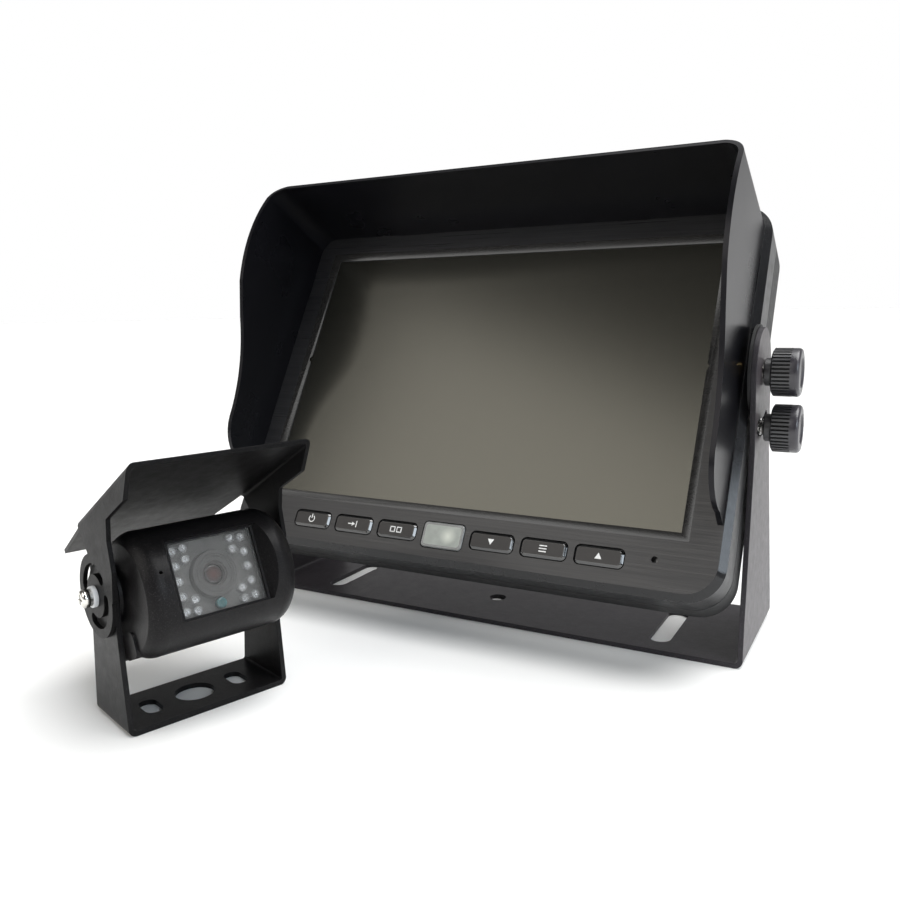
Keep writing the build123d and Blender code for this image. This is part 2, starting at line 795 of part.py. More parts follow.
# Thumb knobs and their studs, an upper and a lower one on each side
knob_places = {"upper": (0, 0, upper_knob_gap), "lower": (lower_back, lower_down, lower_knob_gap)}
for side, hand in ((1, "right"), (-1, "left")):
    for level, (back, up, gap) in knob_places.items():
        start = leg_outer + gap
        with BuildPart() as knob:
            with BuildSketch(head_side.offset(side * start)):
                with Locations((back, up)):
                    Circle(collar_radius)
            extrude(amount=side * collar_length)
            with BuildSketch(head_side.offset(side * (start + collar_length))):
                with Locations((back, up)):
                    Circle(knob_radius)
            extrude(amount=side * knob_length)
            rims = knob.edges().filter_by(GeomType.CIRCLE).filter_by(lambda e: e.radius > knob_radius - 0.1)
            fillet(rims.sort_by(Axis.X)[-1 if side > 0 else 0], knob_round)
            with BuildSketch(head_side.offset(side * (start + collar_length - 0.1))):
                with Locations((back, up)):
                    with PolarLocations(knob_radius + rib_groove_out, knob_ribs):
                        Circle(rib_groove_radius)
            extrude(amount=side * (knob_length - knob_smooth_rim), mode=Mode.SUBTRACT)
            with BuildSketch(head_side.offset(side * start)):
                with Locations((back, up)):
                    Circle(stud_radius)
            extrude(amount=side * (collar_length + stud_in_knob), mode=Mode.SUBTRACT)
        knob.part.label = f"knob_{hand}_{level}"
        export_step(knob.part, f"parts/knob_{hand}_{level}.step")
        stud_outer = start + collar_length + stud_in_knob - sheet_gap
        stud_inner = half_width - insert_length + 1
        with BuildPart() as stud:
            with BuildSketch(head_side.offset(side * stud_outer)):
                with Locations((back, up)):
                    Circle(stud_radius - 0.02)
            extrude(amount=side * (stud_inner - stud_outer))
            chamfer(stud.edges().filter_by(GeomType.CIRCLE).sort_by(Axis.X)[0 if side > 0 else -1], 0.5)
        stud.part.label = f"stud_{hand}_{level}"
        export_step(stud.part, f"parts/stud_{hand}_{level}.step")

# Camera unit planes: the unit is turned about Z, its head and visor tilt back
turn = radians(cam_yaw)
cam_across = Vector(cos(turn), sin(turn), 0)
cam_rear = Vector(-sin(turn), cos(turn), 0)
cam_foot = Plane(origin=(cam_x, cam_y, 0), x_dir=cam_across, z_dir=(0, 0, 1))
cam_front = Plane(origin=cam_foot.origin, x_dir=cam_across, z_dir=-cam_rear)
cam_leg = Plane(origin=cam_foot.origin, x_dir=cam_rear, z_dir=cam_across)
cam_pivot = cam_foot.origin + Vector(0, 0, cam_pivot_z)
cam_out = -cam_rear * cos(radians(cam_tilt)) + Vector(0, 0, sin(radians(cam_tilt)))
hood_angle = radians(cam_tilt + hood_lean)
hood_out = -cam_rear * cos(hood_angle) + Vector(0, 0, sin(hood_angle))
cam_head = Plane(origin=cam_pivot, x_dir=cam_across, z_dir=cam_out)
cam_side = Plane(origin=cam_pivot, x_dir=-cam_out, z_dir=cam_across)       # x to the back, y up
hood_face = Plane(origin=cam_pivot, x_dir=cam_across, z_dir=hood_out)
hood_side = Plane(origin=cam_pivot, x_dir=-hood_out, z_dir=cam_across)
hood_up = hood_out.cross(cam_across)
hood_sheet = Plane(origin=cam_pivot + hood_up * (hood_top - hood_thick), x_dir=cam_across, z_dir=hood_up)
cam_axis = Axis(cam_pivot, cam_out)

# Camera bracket: a small U with two slots and a large centre hole
with BuildPart() as camera_bracket:
    with BuildSketch(cam_front):
        with BuildSketch(mode=Mode.PRIVATE) as cam_u_inside:
            with Locations((0, cam_steel + cam_pivot_z)):
                Rectangle(2 * cam_leg_inner, 2 * cam_pivot_z)
            fillet(cam_u_inside.vertices().group_by(Axis.Y)[0], cam_bend - cam_steel)
        with BuildSketch(mode=Mode.PRIVATE) as cam_u_outside:
            with Locations((0, cam_pivot_z)):
                Rectangle(2 * cam_leg_outer, 2 * cam_pivot_z)
            fillet(cam_u_outside.vertices().group_by(Axis.Y)[0], cam_bend)
        add(cam_u_outside.sketch)
        add(cam_u_inside.sketch, mode=Mode.SUBTRACT)
    extrude(amount=cam_foot_depth / 2, both=True)
    with BuildSketch(cam_leg):
        with BuildLine():
            Polyline(
                (-cam_foot_depth / 2, 0),
                (cam_foot_depth / 2, 0),
                (cam_ear, cam_pivot_z - 9),
                (cam_ear, cam_pivot_z),
                (-cam_ear, cam_pivot_z),
                (-cam_ear, cam_pivot_z - 9),
                close=True,
            )
        make_face()
        with Locations((0, cam_pivot_z)):
            Circle(cam_ear)
    extrude(amount=cam_leg_outer + 1, both=True, mode=Mode.INTERSECT)
    with BuildSketch(cam_leg):
        with Locations((0, cam_pivot_z)):
            Circle(cam_screw_radius + hole_gap)
    extrude(amount=cam_leg_outer + 1, both=True, mode=Mode.SUBTRACT)
    with BuildSketch(cam_foot):
        Circle(cam_hole_radius)
        with GridLocations(2 * cam_slot_x, 1, 2, 1):
            SlotOverall(cam_slot_length, cam_slot_width, rotation=90)
    extrude(amount=cam_steel, mode=Mode.SUBTRACT)
camera_bracket.part.label = "camera_bracket"
export_step(camera_bracket.part, "parts/camera_bracket.step")

# Camera housing: turned drum with a window pocket, box body behind, side bosses
cover_rows = (box_top - cover_screw_in, box_bottom + cover_screw_in)
cover_spots = [(x, y) for x in (-cover_screw_x, cover_screw_x) for y in cover_rows]
box_mid = (box_top + box_bottom) / 2
box_height = box_top - box_bottom
pocket_w = window_open_w + 2 * window_rim
pocket_h = window_open_h + 2 * window_rim_y
ledge_out = window_front + window_ledge
rebate_back = window_front - window_glass_thick - gasket_thick - rebate_spare
rebate_w = window_open_w + 2 * window_lap
rebate_h = window_open_h + 2 * window_lap
with BuildPart() as camera_housing:
    with BuildSketch(cam_side):
        with Locations(((-box_back - drum_out) / 2, box_mid)):
            RectangleRounded(-box_back + drum_out, box_height, box_corner)
    extrude(amount=box_half, both=True)
    with BuildSketch(Plane(origin=cam_head.offset(drum_out).origin, x_dir=cam_across, z_dir=cam_out)):
        with BuildLine():
            Line((-drum_half, drum_y), (drum_half, drum_y))
            Line((drum_half, drum_y), (drum_half, drum_y + drum_end_radius))
            ThreePointArc(
                (drum_half, drum_y + drum_end_radius),
                (drum_flat + drum_round_x, drum_y + drum_radius - drum_round_y),
                (drum_flat, drum_y + drum_radius),
            )
            Line((drum_flat, drum_y + drum_radius), (-drum_flat, drum_y + drum_radius))
            ThreePointArc(
                (-drum_flat, drum_y + drum_radius),
                (-drum_flat - drum_round_x, drum_y + drum_radius - drum_round_y),
                (-drum_half, drum_y + drum_end_radius),
            )
            Line((-drum_half, drum_y + drum_end_radius), (-drum_half, drum_y))
        make_face()
    drum_centre = cam_head.from_local_coords(Vector(0, drum_y, drum_out))
    revolve(axis=Axis(drum_centre, cam_across))
    with BuildSketch(cam_side):
        Circle(boss_radius)
    extrude(amount=cam_leg_inner - boss_gap, both=True)
    with BuildSketch(cam_side):
        with Locations((lug_back, lug_up)):
            RectangleRounded(lug_length, lug_height, 2.0)
    extrude(amount=cam_leg_inner - boss_gap - 0.2, both=True)
    with BuildSketch(cam_side):
        with Locations((-drum_out, drum_y)):
            Circle(drum_radius - cam_wall - 0.2)
        with Locations((-rebate_back - 10, drum_y)):
            Rectangle(20, 60, mode=Mode.SUBTRACT)
        with Locations(((-box_back - drum_out) / 2 + 1, box_mid)):
            Rectangle(-box_back + drum_out + 2, box_height - 2 * cam_wall)
    extrude(amount=box_half - cam_wall, both=True, mode=Mode.SUBTRACT)
    with BuildSketch(cam_head.offset(box_back)):
        with Locations(*cover_spots):
            Circle(cover_post)
    extrude(amount=cover_post_long)
    with BuildSketch(cam_head.offset(box_back)):
        with Locations(*cover_spots):
            Circle(cover_screw + running)
    extrude(amount=cover_screw_bite + 1, mode=Mode.SUBTRACT)
    for side in (-1, 1):
        with BuildSketch(cam_side.offset(side * (box_half - cam_wall - nut_boss_long))):
            Circle(nut_boss)
        extrude(amount=side * (nut_boss_long + 0.2))
    with BuildSketch(cam_side):
        Circle(cam_screw_radius + running)
    extrude(amount=cam_leg_inner, both=True, mode=Mode.SUBTRACT)
    with BuildSketch(cam_head.offset(drum_out + drum_radius + 0.2)):
        with Locations((0, drum_y)):
            Rectangle(pocket_w, pocket_h)
    with BuildSketch(cam_head.offset(ledge_out)):
        with Locations((0, drum_y)):
            Rectangle(window_open_w + 1.2, window_open_h + 1.0)
    loft(mode=Mode.SUBTRACT)
    with BuildSketch(cam_head.offset(ledge_out + 0.1)):
        with Locations((0, drum_y)):
            Rectangle(window_open_w, window_open_h)
    extrude(amount=rebate_back - ledge_out - 0.2, mode=Mode.SUBTRACT)
    with BuildSketch(cam_head.offset(window_front)):
        with Locations((0, drum_y)):
            Rectangle(rebate_w, rebate_h)
    extrude(amount=rebate_back - window_front - 0.1, mode=Mode.SUBTRACT)
    with BuildSketch(cam_head.offset(ledge_out - 1)):
        with Locations((peep_x, drum_y + peep_up)):
            Circle(peep_radius)
    extrude(amount=12, mode=Mode.SUBTRACT)
camera_housing.part.label = "camera_housing"
export_step(camera_housing.part, "parts/camera_housing.step")

# Window glass in its rebate, with a gasket ring behind it
glass_face = window_front - seat_gap
with BuildPart() as window_glass:
    with BuildSketch(cam_head.offset(glass_face)):
        with Locations((0, drum_y)):
            Rectangle(rebate_w - 2 * slip, rebate_h - 2 * slip)
    extrude(amount=-window_glass_thick)
window_glass.part.label = "window_glass"
export_step(window_glass.part, "parts/window_glass.step")

with BuildPart() as window_gasket:
    with BuildSketch(cam_head.offset(glass_face - window_glass_thick - seat_gap)):
        with Locations((0, drum_y)):
            Rectangle(rebate_w - 2 * slip, rebate_h - 2 * slip)
            Rectangle(window_open_w - 0.2, window_open_h - 0.2, mode=Mode.SUBTRACT)
    extrude(amount=-gasket_thick)
window_gasket.part.label = "window_gasket"
export_step(window_gasket.part, "parts/window_gasket.step")

# Image sensor board across the housing, and the lens barrel that stands on it
sensor_board_front = sensor_board_back + sensor_board_thick
with BuildPart() as sensor_board:
    with BuildSketch(cam_head.offset(sensor_board_back)):
        with Locations((0, drum_y)):
            Rectangle(2 * (box_half - cam_wall - hole_gap), sensor_board_height)
    extrude(amount=sensor_board_thick)
    with BuildSketch(cam_head.offset(sensor_board_back)):
        with Locations((0, drum_y)):
            Rectangle(chip_side, chip_side)
    extrude(amount=-chip_thick)
sensor_board.part.label = "sensor_board"
export_step(sensor_board.part, "parts/sensor_board.step")

with BuildPart() as lens_barrel:
    with BuildSketch(cam_head.offset(sensor_board_front + seat_gap)):
        with Locations((0, drum_y)):
            Circle(lens_radius)
    extrude(amount=lens_front - sensor_board_front - seat_gap)
    chamfer(lens_barrel.faces().sort_by(cam_axis)[-1].edges(), 0.3)
    with BuildSketch(cam_head.offset(lens_front)):
        with Locations((0, drum_y)):
            Circle(lens_mouth)
    extrude(amount=-lens_mouth_deep, mode=Mode.SUBTRACT)
    with BuildSketch(cam_head.offset(lens_front)):
        with Locations((0, drum_y)):
            Circle(lens_glass_radius + running)
    extrude(amount=-lens_seat_deep - sheet_gap, mode=Mode.SUBTRACT)
lens_barrel.part.label = "lens_barrel"
export_step(lens_barrel.part, "parts/lens_barrel.step")

with BuildPart() as lens_glass:
    with BuildSketch(cam_head.offset(lens_front - lens_seat_deep)):
        with Locations((0, drum_y)):
            Circle(lens_glass_radius)
    extrude(amount=lens_glass_long)
    fillet(lens_glass.faces().sort_by(cam_axis)[-1].edges(), 1.0)
lens_glass.part.label = "lens_glass"
export_step(lens_glass.part, "parts/lens_glass.step")

# LED board on four spacers, eighteen LEDs in columns beside the lens, light sensor below it
led_spots = [(side * led_outer_x, drum_y + row * led_outer_step) for side in (-1, 1) for row in range(-2, 3)]
led_spots += [(side * x, drum_y + end * y) for side in (-1, 1) for end in (-1, 1) for x, y in led_inner]
with BuildPart() as led_board:
    with BuildSketch(cam_head.offset(led_board_front - seat_gap)):
        with Locations((0, drum_y)):
            Rectangle(led_board_width, led_board_height)
            Circle(lens_radius + 0.15, mode=Mode.SUBTRACT)
    extrude(amount=-led_board_thick)
    with BuildSketch(cam_head.offset(led_board_front - seat_gap - led_board_thick)):
        with Locations((0, drum_y)):
            with GridLocations(spacer_x, spacer_y, 2, 2):
                Circle(spacer_radius)
    extrude(amount=sensor_board_front + 2 * seat_gap + led_board_thick - led_board_front)
led_board.part.label = "led_board"
export_step(led_board.part, "parts/led_board.step")

with BuildPart() as ir_leds:
    with BuildSketch(cam_head.offset(led_board_front)):
        with Locations(*led_spots):
            Circle(led_radius)
    extrude(amount=led_long)
    fillet(ir_leds.edges().filter_by(GeomType.CIRCLE).group_by(cam_axis)[-1], led_radius - slip)
ir_leds.part.label = "ir_leds"
export_step(ir_leds.part, "parts/ir_leds.step")

with BuildPart() as light_sensor:
    with BuildSketch(cam_head.offset(led_board_front)):
        with Locations((0, drum_y - lens_radius - 0.2 - sensor_radius)):
            Circle(sensor_radius)
    extrude(amount=sensor_long)
    fillet(light_sensor.faces().sort_by(cam_axis)[-1].edges(), 0.5)
light_sensor.part.label = "light_sensor"
export_step(light_sensor.part, "parts/light_sensor.step")

# Rear cover with its seal, screws and cable gland
seal_front = box_back - seat_gap
cover_front = seal_front - seal_thick - seat_gap
cover_back = cover_front - cover_thick
inlet_y = box_mid - inlet_drop
with BuildPart() as cover_seal:
    with BuildSketch(cam_head.offset(seal_front)):
        with Locations((0, box_mid)):
            RectangleRounded(2 * (box_half - seal_in), box_height - 2 * seal_in, box_corner - seal_in)
            Rectangle(2 * (box_half - cam_wall), box_height - 2 * cam_wall, mode=Mode.SUBTRACT)
    extrude(amount=-seal_thick)
cover_seal.part.label = "cover_seal"
export_step(cover_seal.part, "parts/cover_seal.step")

with BuildPart() as rear_cover:
    with BuildSketch(cam_head.offset(cover_front)):
        with Locations((0, box_mid)):
            RectangleRounded(2 * box_half, box_height, box_corner)
    extrude(amount=-cover_thick)
    chamfer(rear_cover.faces().sort_by(cam_axis)[0].edges(), cover_chamfer)
    with BuildSketch(cam_head.offset(cover_front)):
        with Locations(*cover_spots):
            Circle(cover_screw + hole_gap)
        with Locations((0, inlet_y)):
            Circle(inlet_neck)
    extrude(amount=-cover_thick, mode=Mode.SUBTRACT)
rear_cover.part.label = "rear_cover"
export_step(rear_cover.part, "parts/rear_cover.step")

with BuildPart() as cover_screws:
    with BuildSketch(cam_head.offset(cover_back - seat_gap)):
        with Locations(*cover_spots):
            Circle(cover_screw_head)
    extrude(amount=-cover_screw_head_long)
    fillet(cover_screws.faces().group_by(cam_axis)[0].edges(), 0.5)
    with BuildSketch(cam_head.offset(cover_back - seat_gap)):
        with Locations(*cover_spots):
            Circle(cover_screw)
    extrude(amount=box_back + cover_screw_bite - cover_back)
    with BuildSketch(cam_head.offset(cover_back - seat_gap - cover_screw_head_long)):
        with Locations(*cover_spots):
            Rectangle(2.0, 0.4)
            Rectangle(0.4, 2.0)
    extrude(amount=0.6, mode=Mode.SUBTRACT)
cover_screws.part.label = "cover_screws"
export_step(cover_screws.part, "parts/cover_screws.step")

with BuildPart() as camera_gland:
    with BuildSketch(cam_head.offset(cover_front + 1.0)):
        with Locations((0, inlet_y)):
            Circle(inlet_neck - seat_gap)
    extrude(amount=-cover_thick - 1.1)
    with BuildSketch(cam_head.offset(cover_back - seat_gap)):
        with Locations((0, inlet_y)):
            RegularPolygon(radius=inlet_nut, side_count=6, major_radius=False)
    extrude(amount=-inlet_nut_thick)
    with BuildSketch(cam_head.offset(cover_back - inlet_nut_thick)):
        with Locations((0, inlet_y)):
            Circle(inlet_cap)
    extrude(amount=-inlet_cap_long, taper=10)
    with BuildSketch(cam_head.offset(cover_front + 2.0)):
        with Locations((0, inlet_y)):
            Circle(inlet_hole)
    extrude(amount=-16, mode=Mode.SUBTRACT)
camera_gland.part.label = "camera_gland"
export_step(camera_gland.part, "parts/camera_gland.step")

# Camera visor: one bent sheet whose sides run down to slotted discs outside the legs
with BuildPart() as camera_visor:
    with BuildSketch(hood_face.offset(-disc_radius - 1)):
        with BuildSketch(mode=Mode.PRIVATE) as hood_inside:
            with Locations((0, hood_top - hood_thick - hood_reach)):
                Rectangle(2 * (hood_half - hood_thick), 2 * hood_reach)
            fillet(hood_inside.vertices().group_by(Axis.Y)[-1], hood_bend - hood_thick)
        with BuildSketch(mode=Mode.PRIVATE) as hood_outside:
            with Locations((0, hood_top - hood_half)):
                Rectangle(2 * hood_half, 2 * hood_half)
            fillet(hood_outside.vertices().group_by(Axis.Y)[-1], hood_bend)
        add(hood_outside.sketch)
        add(hood_inside.sketch, mode=Mode.SUBTRACT)
    extrude(amount=hood_reach + disc_radius + 2)
    with BuildSketch(hood_side):
        with BuildLine():
            FilletPolyline(
                (0.8, hood_half),
                (-hood_reach, hood_half),
                (-hood_reach, 20.4),
                (-35.6, 14.5),
                (-21.7, 14.5),
                (-18.1, 9.6),
                (-15.8, 1.8),
                (-10.6, -5.2),
                (0, 0),
                (-2.4, 11.6),
                (-0.6, 18.3),
                radius=1.2,
                close=True,
            )
        make_face()
        Circle(disc_radius)
    extrude(amount=hood_half + 1, both=True, mode=Mode.INTERSECT)
    with BuildSketch(hood_sheet):
        with BuildLine():
            Polyline(
                (-hood_half + hood_bend, -2),
                (hood_half - hood_bend, -2),
                (hood_half - hood_bend, 0),
                (tail_half, tail_reach),
                (-tail_half, tail_reach),
                (-hood_half + hood_bend, 0),
                close=True,
            )
        make_face()
    extrude(amount=hood_thick)
    with BuildSketch(hood_side):
        Circle(cam_screw_radius + hole_gap)
        with BuildLine(mode=Mode.PRIVATE) as top_slot:
            CenterArc((0, 0), arc_slot_radius, 40, 120)
        with BuildLine(mode=Mode.PRIVATE) as low_slot:
            CenterArc((0, 0), arc_slot_radius, 205, 115)
        SlotArc(top_slot.edge(), arc_slot_width)
        SlotArc(low_slot.edge(), arc_slot_width)
    extrude(amount=hood_half + 1, both=True, mode=Mode.SUBTRACT)
camera_visor.part.label = "camera_visor"
export_step(camera_visor.part, "parts/camera_visor.step")

# Side screws of the camera unit, with nylon and spring washers under their heads
nylon_start = hood_half + seat_gap
spring_start = nylon_start + nylon_thick + seat_gap
cam_head_start = spring_start + spring_thick + seat_gap
with BuildPart() as nylon_washers:
    with BuildSketch(cam_side.offset(nylon_start)):
        Circle(nylon_radius)
        Circle(cam_screw_radius + 0.1, mode=Mode.SUBTRACT)
    extrude(amount=nylon_thick)
    mirror(about=cam_side)
nylon_washers.part.label = "nylon_washers"
export_step(nylon_washers.part, "parts/nylon_washers.step")

with BuildPart() as spring_washers:
    with BuildSketch(cam_side.offset(spring_start)):
        Circle(spring_radius)
        Circle(cam_screw_radius + 0.1, mode=Mode.SUBTRACT)
        with Locations((0, spring_radius)):
            Rectangle(0.4, spring_radius * 1.6, rotation=20, mode=Mode.SUBTRACT)
    extrude(amount=spring_thick)
    mirror(about=cam_side)
spring_washers.part.label = "spring_washers"
export_step(spring_washers.part, "parts/spring_washers.step")

with BuildPart() as pivot_screws:
    with BuildSketch(cam_side.offset(cam_head_start)):
        Circle(cam_screw_head)
    extrude(amount=cam_screw_head_long)
    fillet(pivot_screws.faces().sort_by(Axis(cam_pivot, cam_across))[-1].edges(), 1.1)
    with BuildSketch(cam_side.offset(cam_head_start + cam_screw_head_long)):
        Rectangle(cam_cross_length, cam_cross_width, rotation=25)
        Rectangle(cam_cross_width, cam_cross_length, rotation=25)
    extrude(amount=-cross_depth, mode=Mode.SUBTRACT)
    with BuildSketch(cam_side.offset(cam_head_start)):
        Circle(cam_screw_radius)
    extrude(amount=box_half - nut_boss_long - 0.6 - cam_head_start)
    mirror(about=cam_side)
pivot_screws.part.label = "pivot_screws"
export_step(pivot_screws.part, "parts/pivot_screws.step")
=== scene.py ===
import bpy
import bmesh
import json
from math import atan2, cos, pi, radians, sin
from mathutils import Matrix, Vector

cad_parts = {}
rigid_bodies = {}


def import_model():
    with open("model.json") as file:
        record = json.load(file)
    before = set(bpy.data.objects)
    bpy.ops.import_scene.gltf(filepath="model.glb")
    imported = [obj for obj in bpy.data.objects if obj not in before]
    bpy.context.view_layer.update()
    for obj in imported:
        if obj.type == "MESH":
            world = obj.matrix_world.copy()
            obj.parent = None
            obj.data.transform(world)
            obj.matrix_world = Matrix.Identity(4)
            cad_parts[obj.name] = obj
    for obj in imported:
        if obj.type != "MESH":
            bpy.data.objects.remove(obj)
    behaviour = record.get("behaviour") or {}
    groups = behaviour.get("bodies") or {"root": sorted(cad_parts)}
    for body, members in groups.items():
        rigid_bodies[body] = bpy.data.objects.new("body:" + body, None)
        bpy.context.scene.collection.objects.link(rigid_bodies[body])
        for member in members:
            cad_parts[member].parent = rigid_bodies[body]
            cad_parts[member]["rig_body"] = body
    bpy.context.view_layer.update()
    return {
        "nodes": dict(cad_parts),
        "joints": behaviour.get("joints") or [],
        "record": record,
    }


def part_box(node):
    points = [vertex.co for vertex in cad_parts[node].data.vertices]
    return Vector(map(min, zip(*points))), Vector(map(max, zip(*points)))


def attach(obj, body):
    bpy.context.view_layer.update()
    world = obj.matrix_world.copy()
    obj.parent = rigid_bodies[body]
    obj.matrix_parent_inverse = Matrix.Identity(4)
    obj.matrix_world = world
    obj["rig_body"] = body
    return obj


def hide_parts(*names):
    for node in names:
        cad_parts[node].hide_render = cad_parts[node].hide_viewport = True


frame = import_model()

jointNamed = {j["name"]: j for j in frame["joints"]}
mountNamed = {m["name"]: m for m in frame["record"]["mounts"]}
mm = 0.001
joinDistance = 1e-6    # metres, points nearer than this are one


# Frames of the two heads: x across, y up the face, z out of it. The visor pulls straight off the screen's face,
# and the camera's cord leaves opposite its lens
def faceFrame(origin, across, outward):
    x = Vector(across).normalized()
    z = Vector(outward).normalized()
    y = z.cross(x)
    return Matrix.Translation(Vector(origin)) @ Matrix((x, y, z)).transposed().to_4x4()


screenFrame = faceFrame(jointNamed["monitor_tilt"]["pos_m"], (1, 0, 0), jointNamed["sun_visor_pull"]["axis"])
lensFrame = faceFrame(
    jointNamed["camera_tilt"]["pos_m"],
    jointNamed["camera_tilt"]["axis"],
    -Vector(mountNamed["camera_cable_inlet"]["axis"]),
)


def boxIn(place, points):    # lowest and highest corner in a head's own frame
    inverse = place.inverted()
    local = [inverse @ Vector(p) for p in points]
    low = Vector([min(p[i] for p in local) for i in range(3)])
    high = Vector([max(p[i] for p in local) for i in range(3)])
    return low, high


def nodeIn(place, nodeName):
    return boxIn(place, [v.co for v in frame["nodes"][nodeName].data.vertices])


def solidsOf(nodeName):    # the separate solids of a node, each as a list of points
    bm = bmesh.new()
    bm.from_mesh(frame["nodes"][nodeName].data)
    bmesh.ops.remove_doubles(bm, verts=bm.verts, dist=joinDistance)
    bm.verts.ensure_lookup_table()
    left = set(bm.verts)
    found = []
    for start in bm.verts:
        if start not in left:
            continue
        left.discard(start)
        heap = [start]
        points = []
        while heap:
            v = heap.pop()
            points.append(v.co.copy())
            for e in v.link_edges:
                other = e.other_vert(v)
                if other in left:
                    left.discard(other)
                    heap.append(other)
        found.append(points)
    bm.free()
    return found


# Finishes
even = (1, 1, 1)    # a pattern as wide as it is high
noiseLook = {    # for each use of a noise: how fine it goes, and which of its values count
    "patchDetail": 4, "patchRange": (0.35, 0.65),
    "speckDetail": 1, "speckRange": (0.62, 0.72),
    "glossDetail": 3, "glossRange": (0.3, 0.7), "glossScale": 300,
    "grainDetail": 2, "roughness": 0.6,
}


def addNode(tree, kind, **values):
    node = tree.nodes.new(kind)
    for key, value in values.items():
        if hasattr(node, key):
            setattr(node, key, value)
        else:
            node.inputs[key.replace("_", " ")].default_value = value
    return node


def noiseField(tree, scale, detail, stretch=even):
    coords = addNode(tree, "ShaderNodeTexCoord")
    mapping = addNode(tree, "ShaderNodeMapping", Scale=stretch)
    noise = addNode(
        tree, "ShaderNodeTexNoise", Scale=scale, Detail=detail, Roughness=noiseLook["roughness"]
    )
    tree.links.new(coords.outputs["Object"], mapping.inputs["Vector"])
    tree.links.new(mapping.outputs["Vector"], noise.inputs["Vector"])
    return noise.outputs["Fac"]


def between(tree, value, source, target):    # stretches one range of values onto another
    band = addNode(
        tree, "ShaderNodeMapRange", From_Min=source[0], From_Max=source[1], To_Min=target[0], To_Max=target[1]
    )
    tree.links.new(value, band.inputs["Value"])
    return band.outputs["Result"]


def mixTint(tree, factor, first, second):
    mix = addNode(tree, "ShaderNodeMix", data_type="RGBA")
    tree.links.new(factor, mix.inputs["Factor"])
    for socket, tint in ((mix.inputs["A"], first), (mix.inputs["B"], second)):
        if isinstance(tint, bpy.types.NodeSocket):
            tree.links.new(tint, socket)
        else:
            socket.default_value = (*tint, 1)
    return mix.outputs["Result"]


def makeFinish(name, look):
    finish = bpy.data.materials.new(name)
    finish.use_nodes = True
    tree = finish.node_tree
    shader = tree.nodes["Principled BSDF"]
    stretch = look.get("stretch", even)
    dark, light = look["tint"]
    patches = noiseField(tree, look["patchScale"], noiseLook["patchDetail"], stretch)
    tint = mixTint(tree, between(tree, patches, noiseLook["patchRange"], (0, 1)), dark, light)
    if "speck" in look:    # a second, finer variation
        specks = noiseField(tree, look["speckScale"], noiseLook["speckDetail"])
        tint = mixTint(tree, between(tree, specks, noiseLook["speckRange"], (0, 1)), tint, look["speck"])
    tree.links.new(tint, shader.inputs["Base Color"])
    glossScale = look.get("roughScale", noiseLook["glossScale"])
    gloss = noiseField(tree, glossScale, noiseLook["glossDetail"], stretch)
    tree.links.new(between(tree, gloss, noiseLook["glossRange"], look["rough"]), shader.inputs["Roughness"])
    normal = None
    for scale, height, grainStretch in look.get("grain", ()):
        bump = addNode(tree, "ShaderNodeBump", Strength=1.0, Distance=height)
        tree.links.new(noiseField(tree, scale, noiseLook["grainDetail"], grainStretch), bump.inputs["Height"])
        if normal:
            tree.links.new(normal, bump.inputs["Normal"])
        normal = bump.outputs["Normal"]
    if normal:
        tree.links.new(normal, shader.inputs["Normal"])
    for key, value in look.get("shader", {}).items():
        shader.inputs[key].default_value = value
    return finish


def addSpot(finish, at, radius, tint):    # a soft patch of another tint round a point
    tree = finish.node_tree
    shader = tree.nodes["Principled BSDF"]
    coords = addNode(tree, "ShaderNodeTexCoord")
    size = (radius, radius, radius)
    mapping = addNode(tree, "ShaderNodeMapping", vector_type="TEXTURE", Location=at, Scale=size)
    ball = addNode(tree, "ShaderNodeTexGradient", gradient_type="SPHERICAL")
    tree.links.new(coords.outputs["Object"], mapping.inputs["Vector"])
    tree.links.new(mapping.outputs["Vector"], ball.inputs["Vector"])
    around = shader.inputs["Base Color"].links[0].from_socket
    tree.links.new(mixTint(tree, ball.outputs["Fac"], around, tint), shader.inputs["Base Color"])


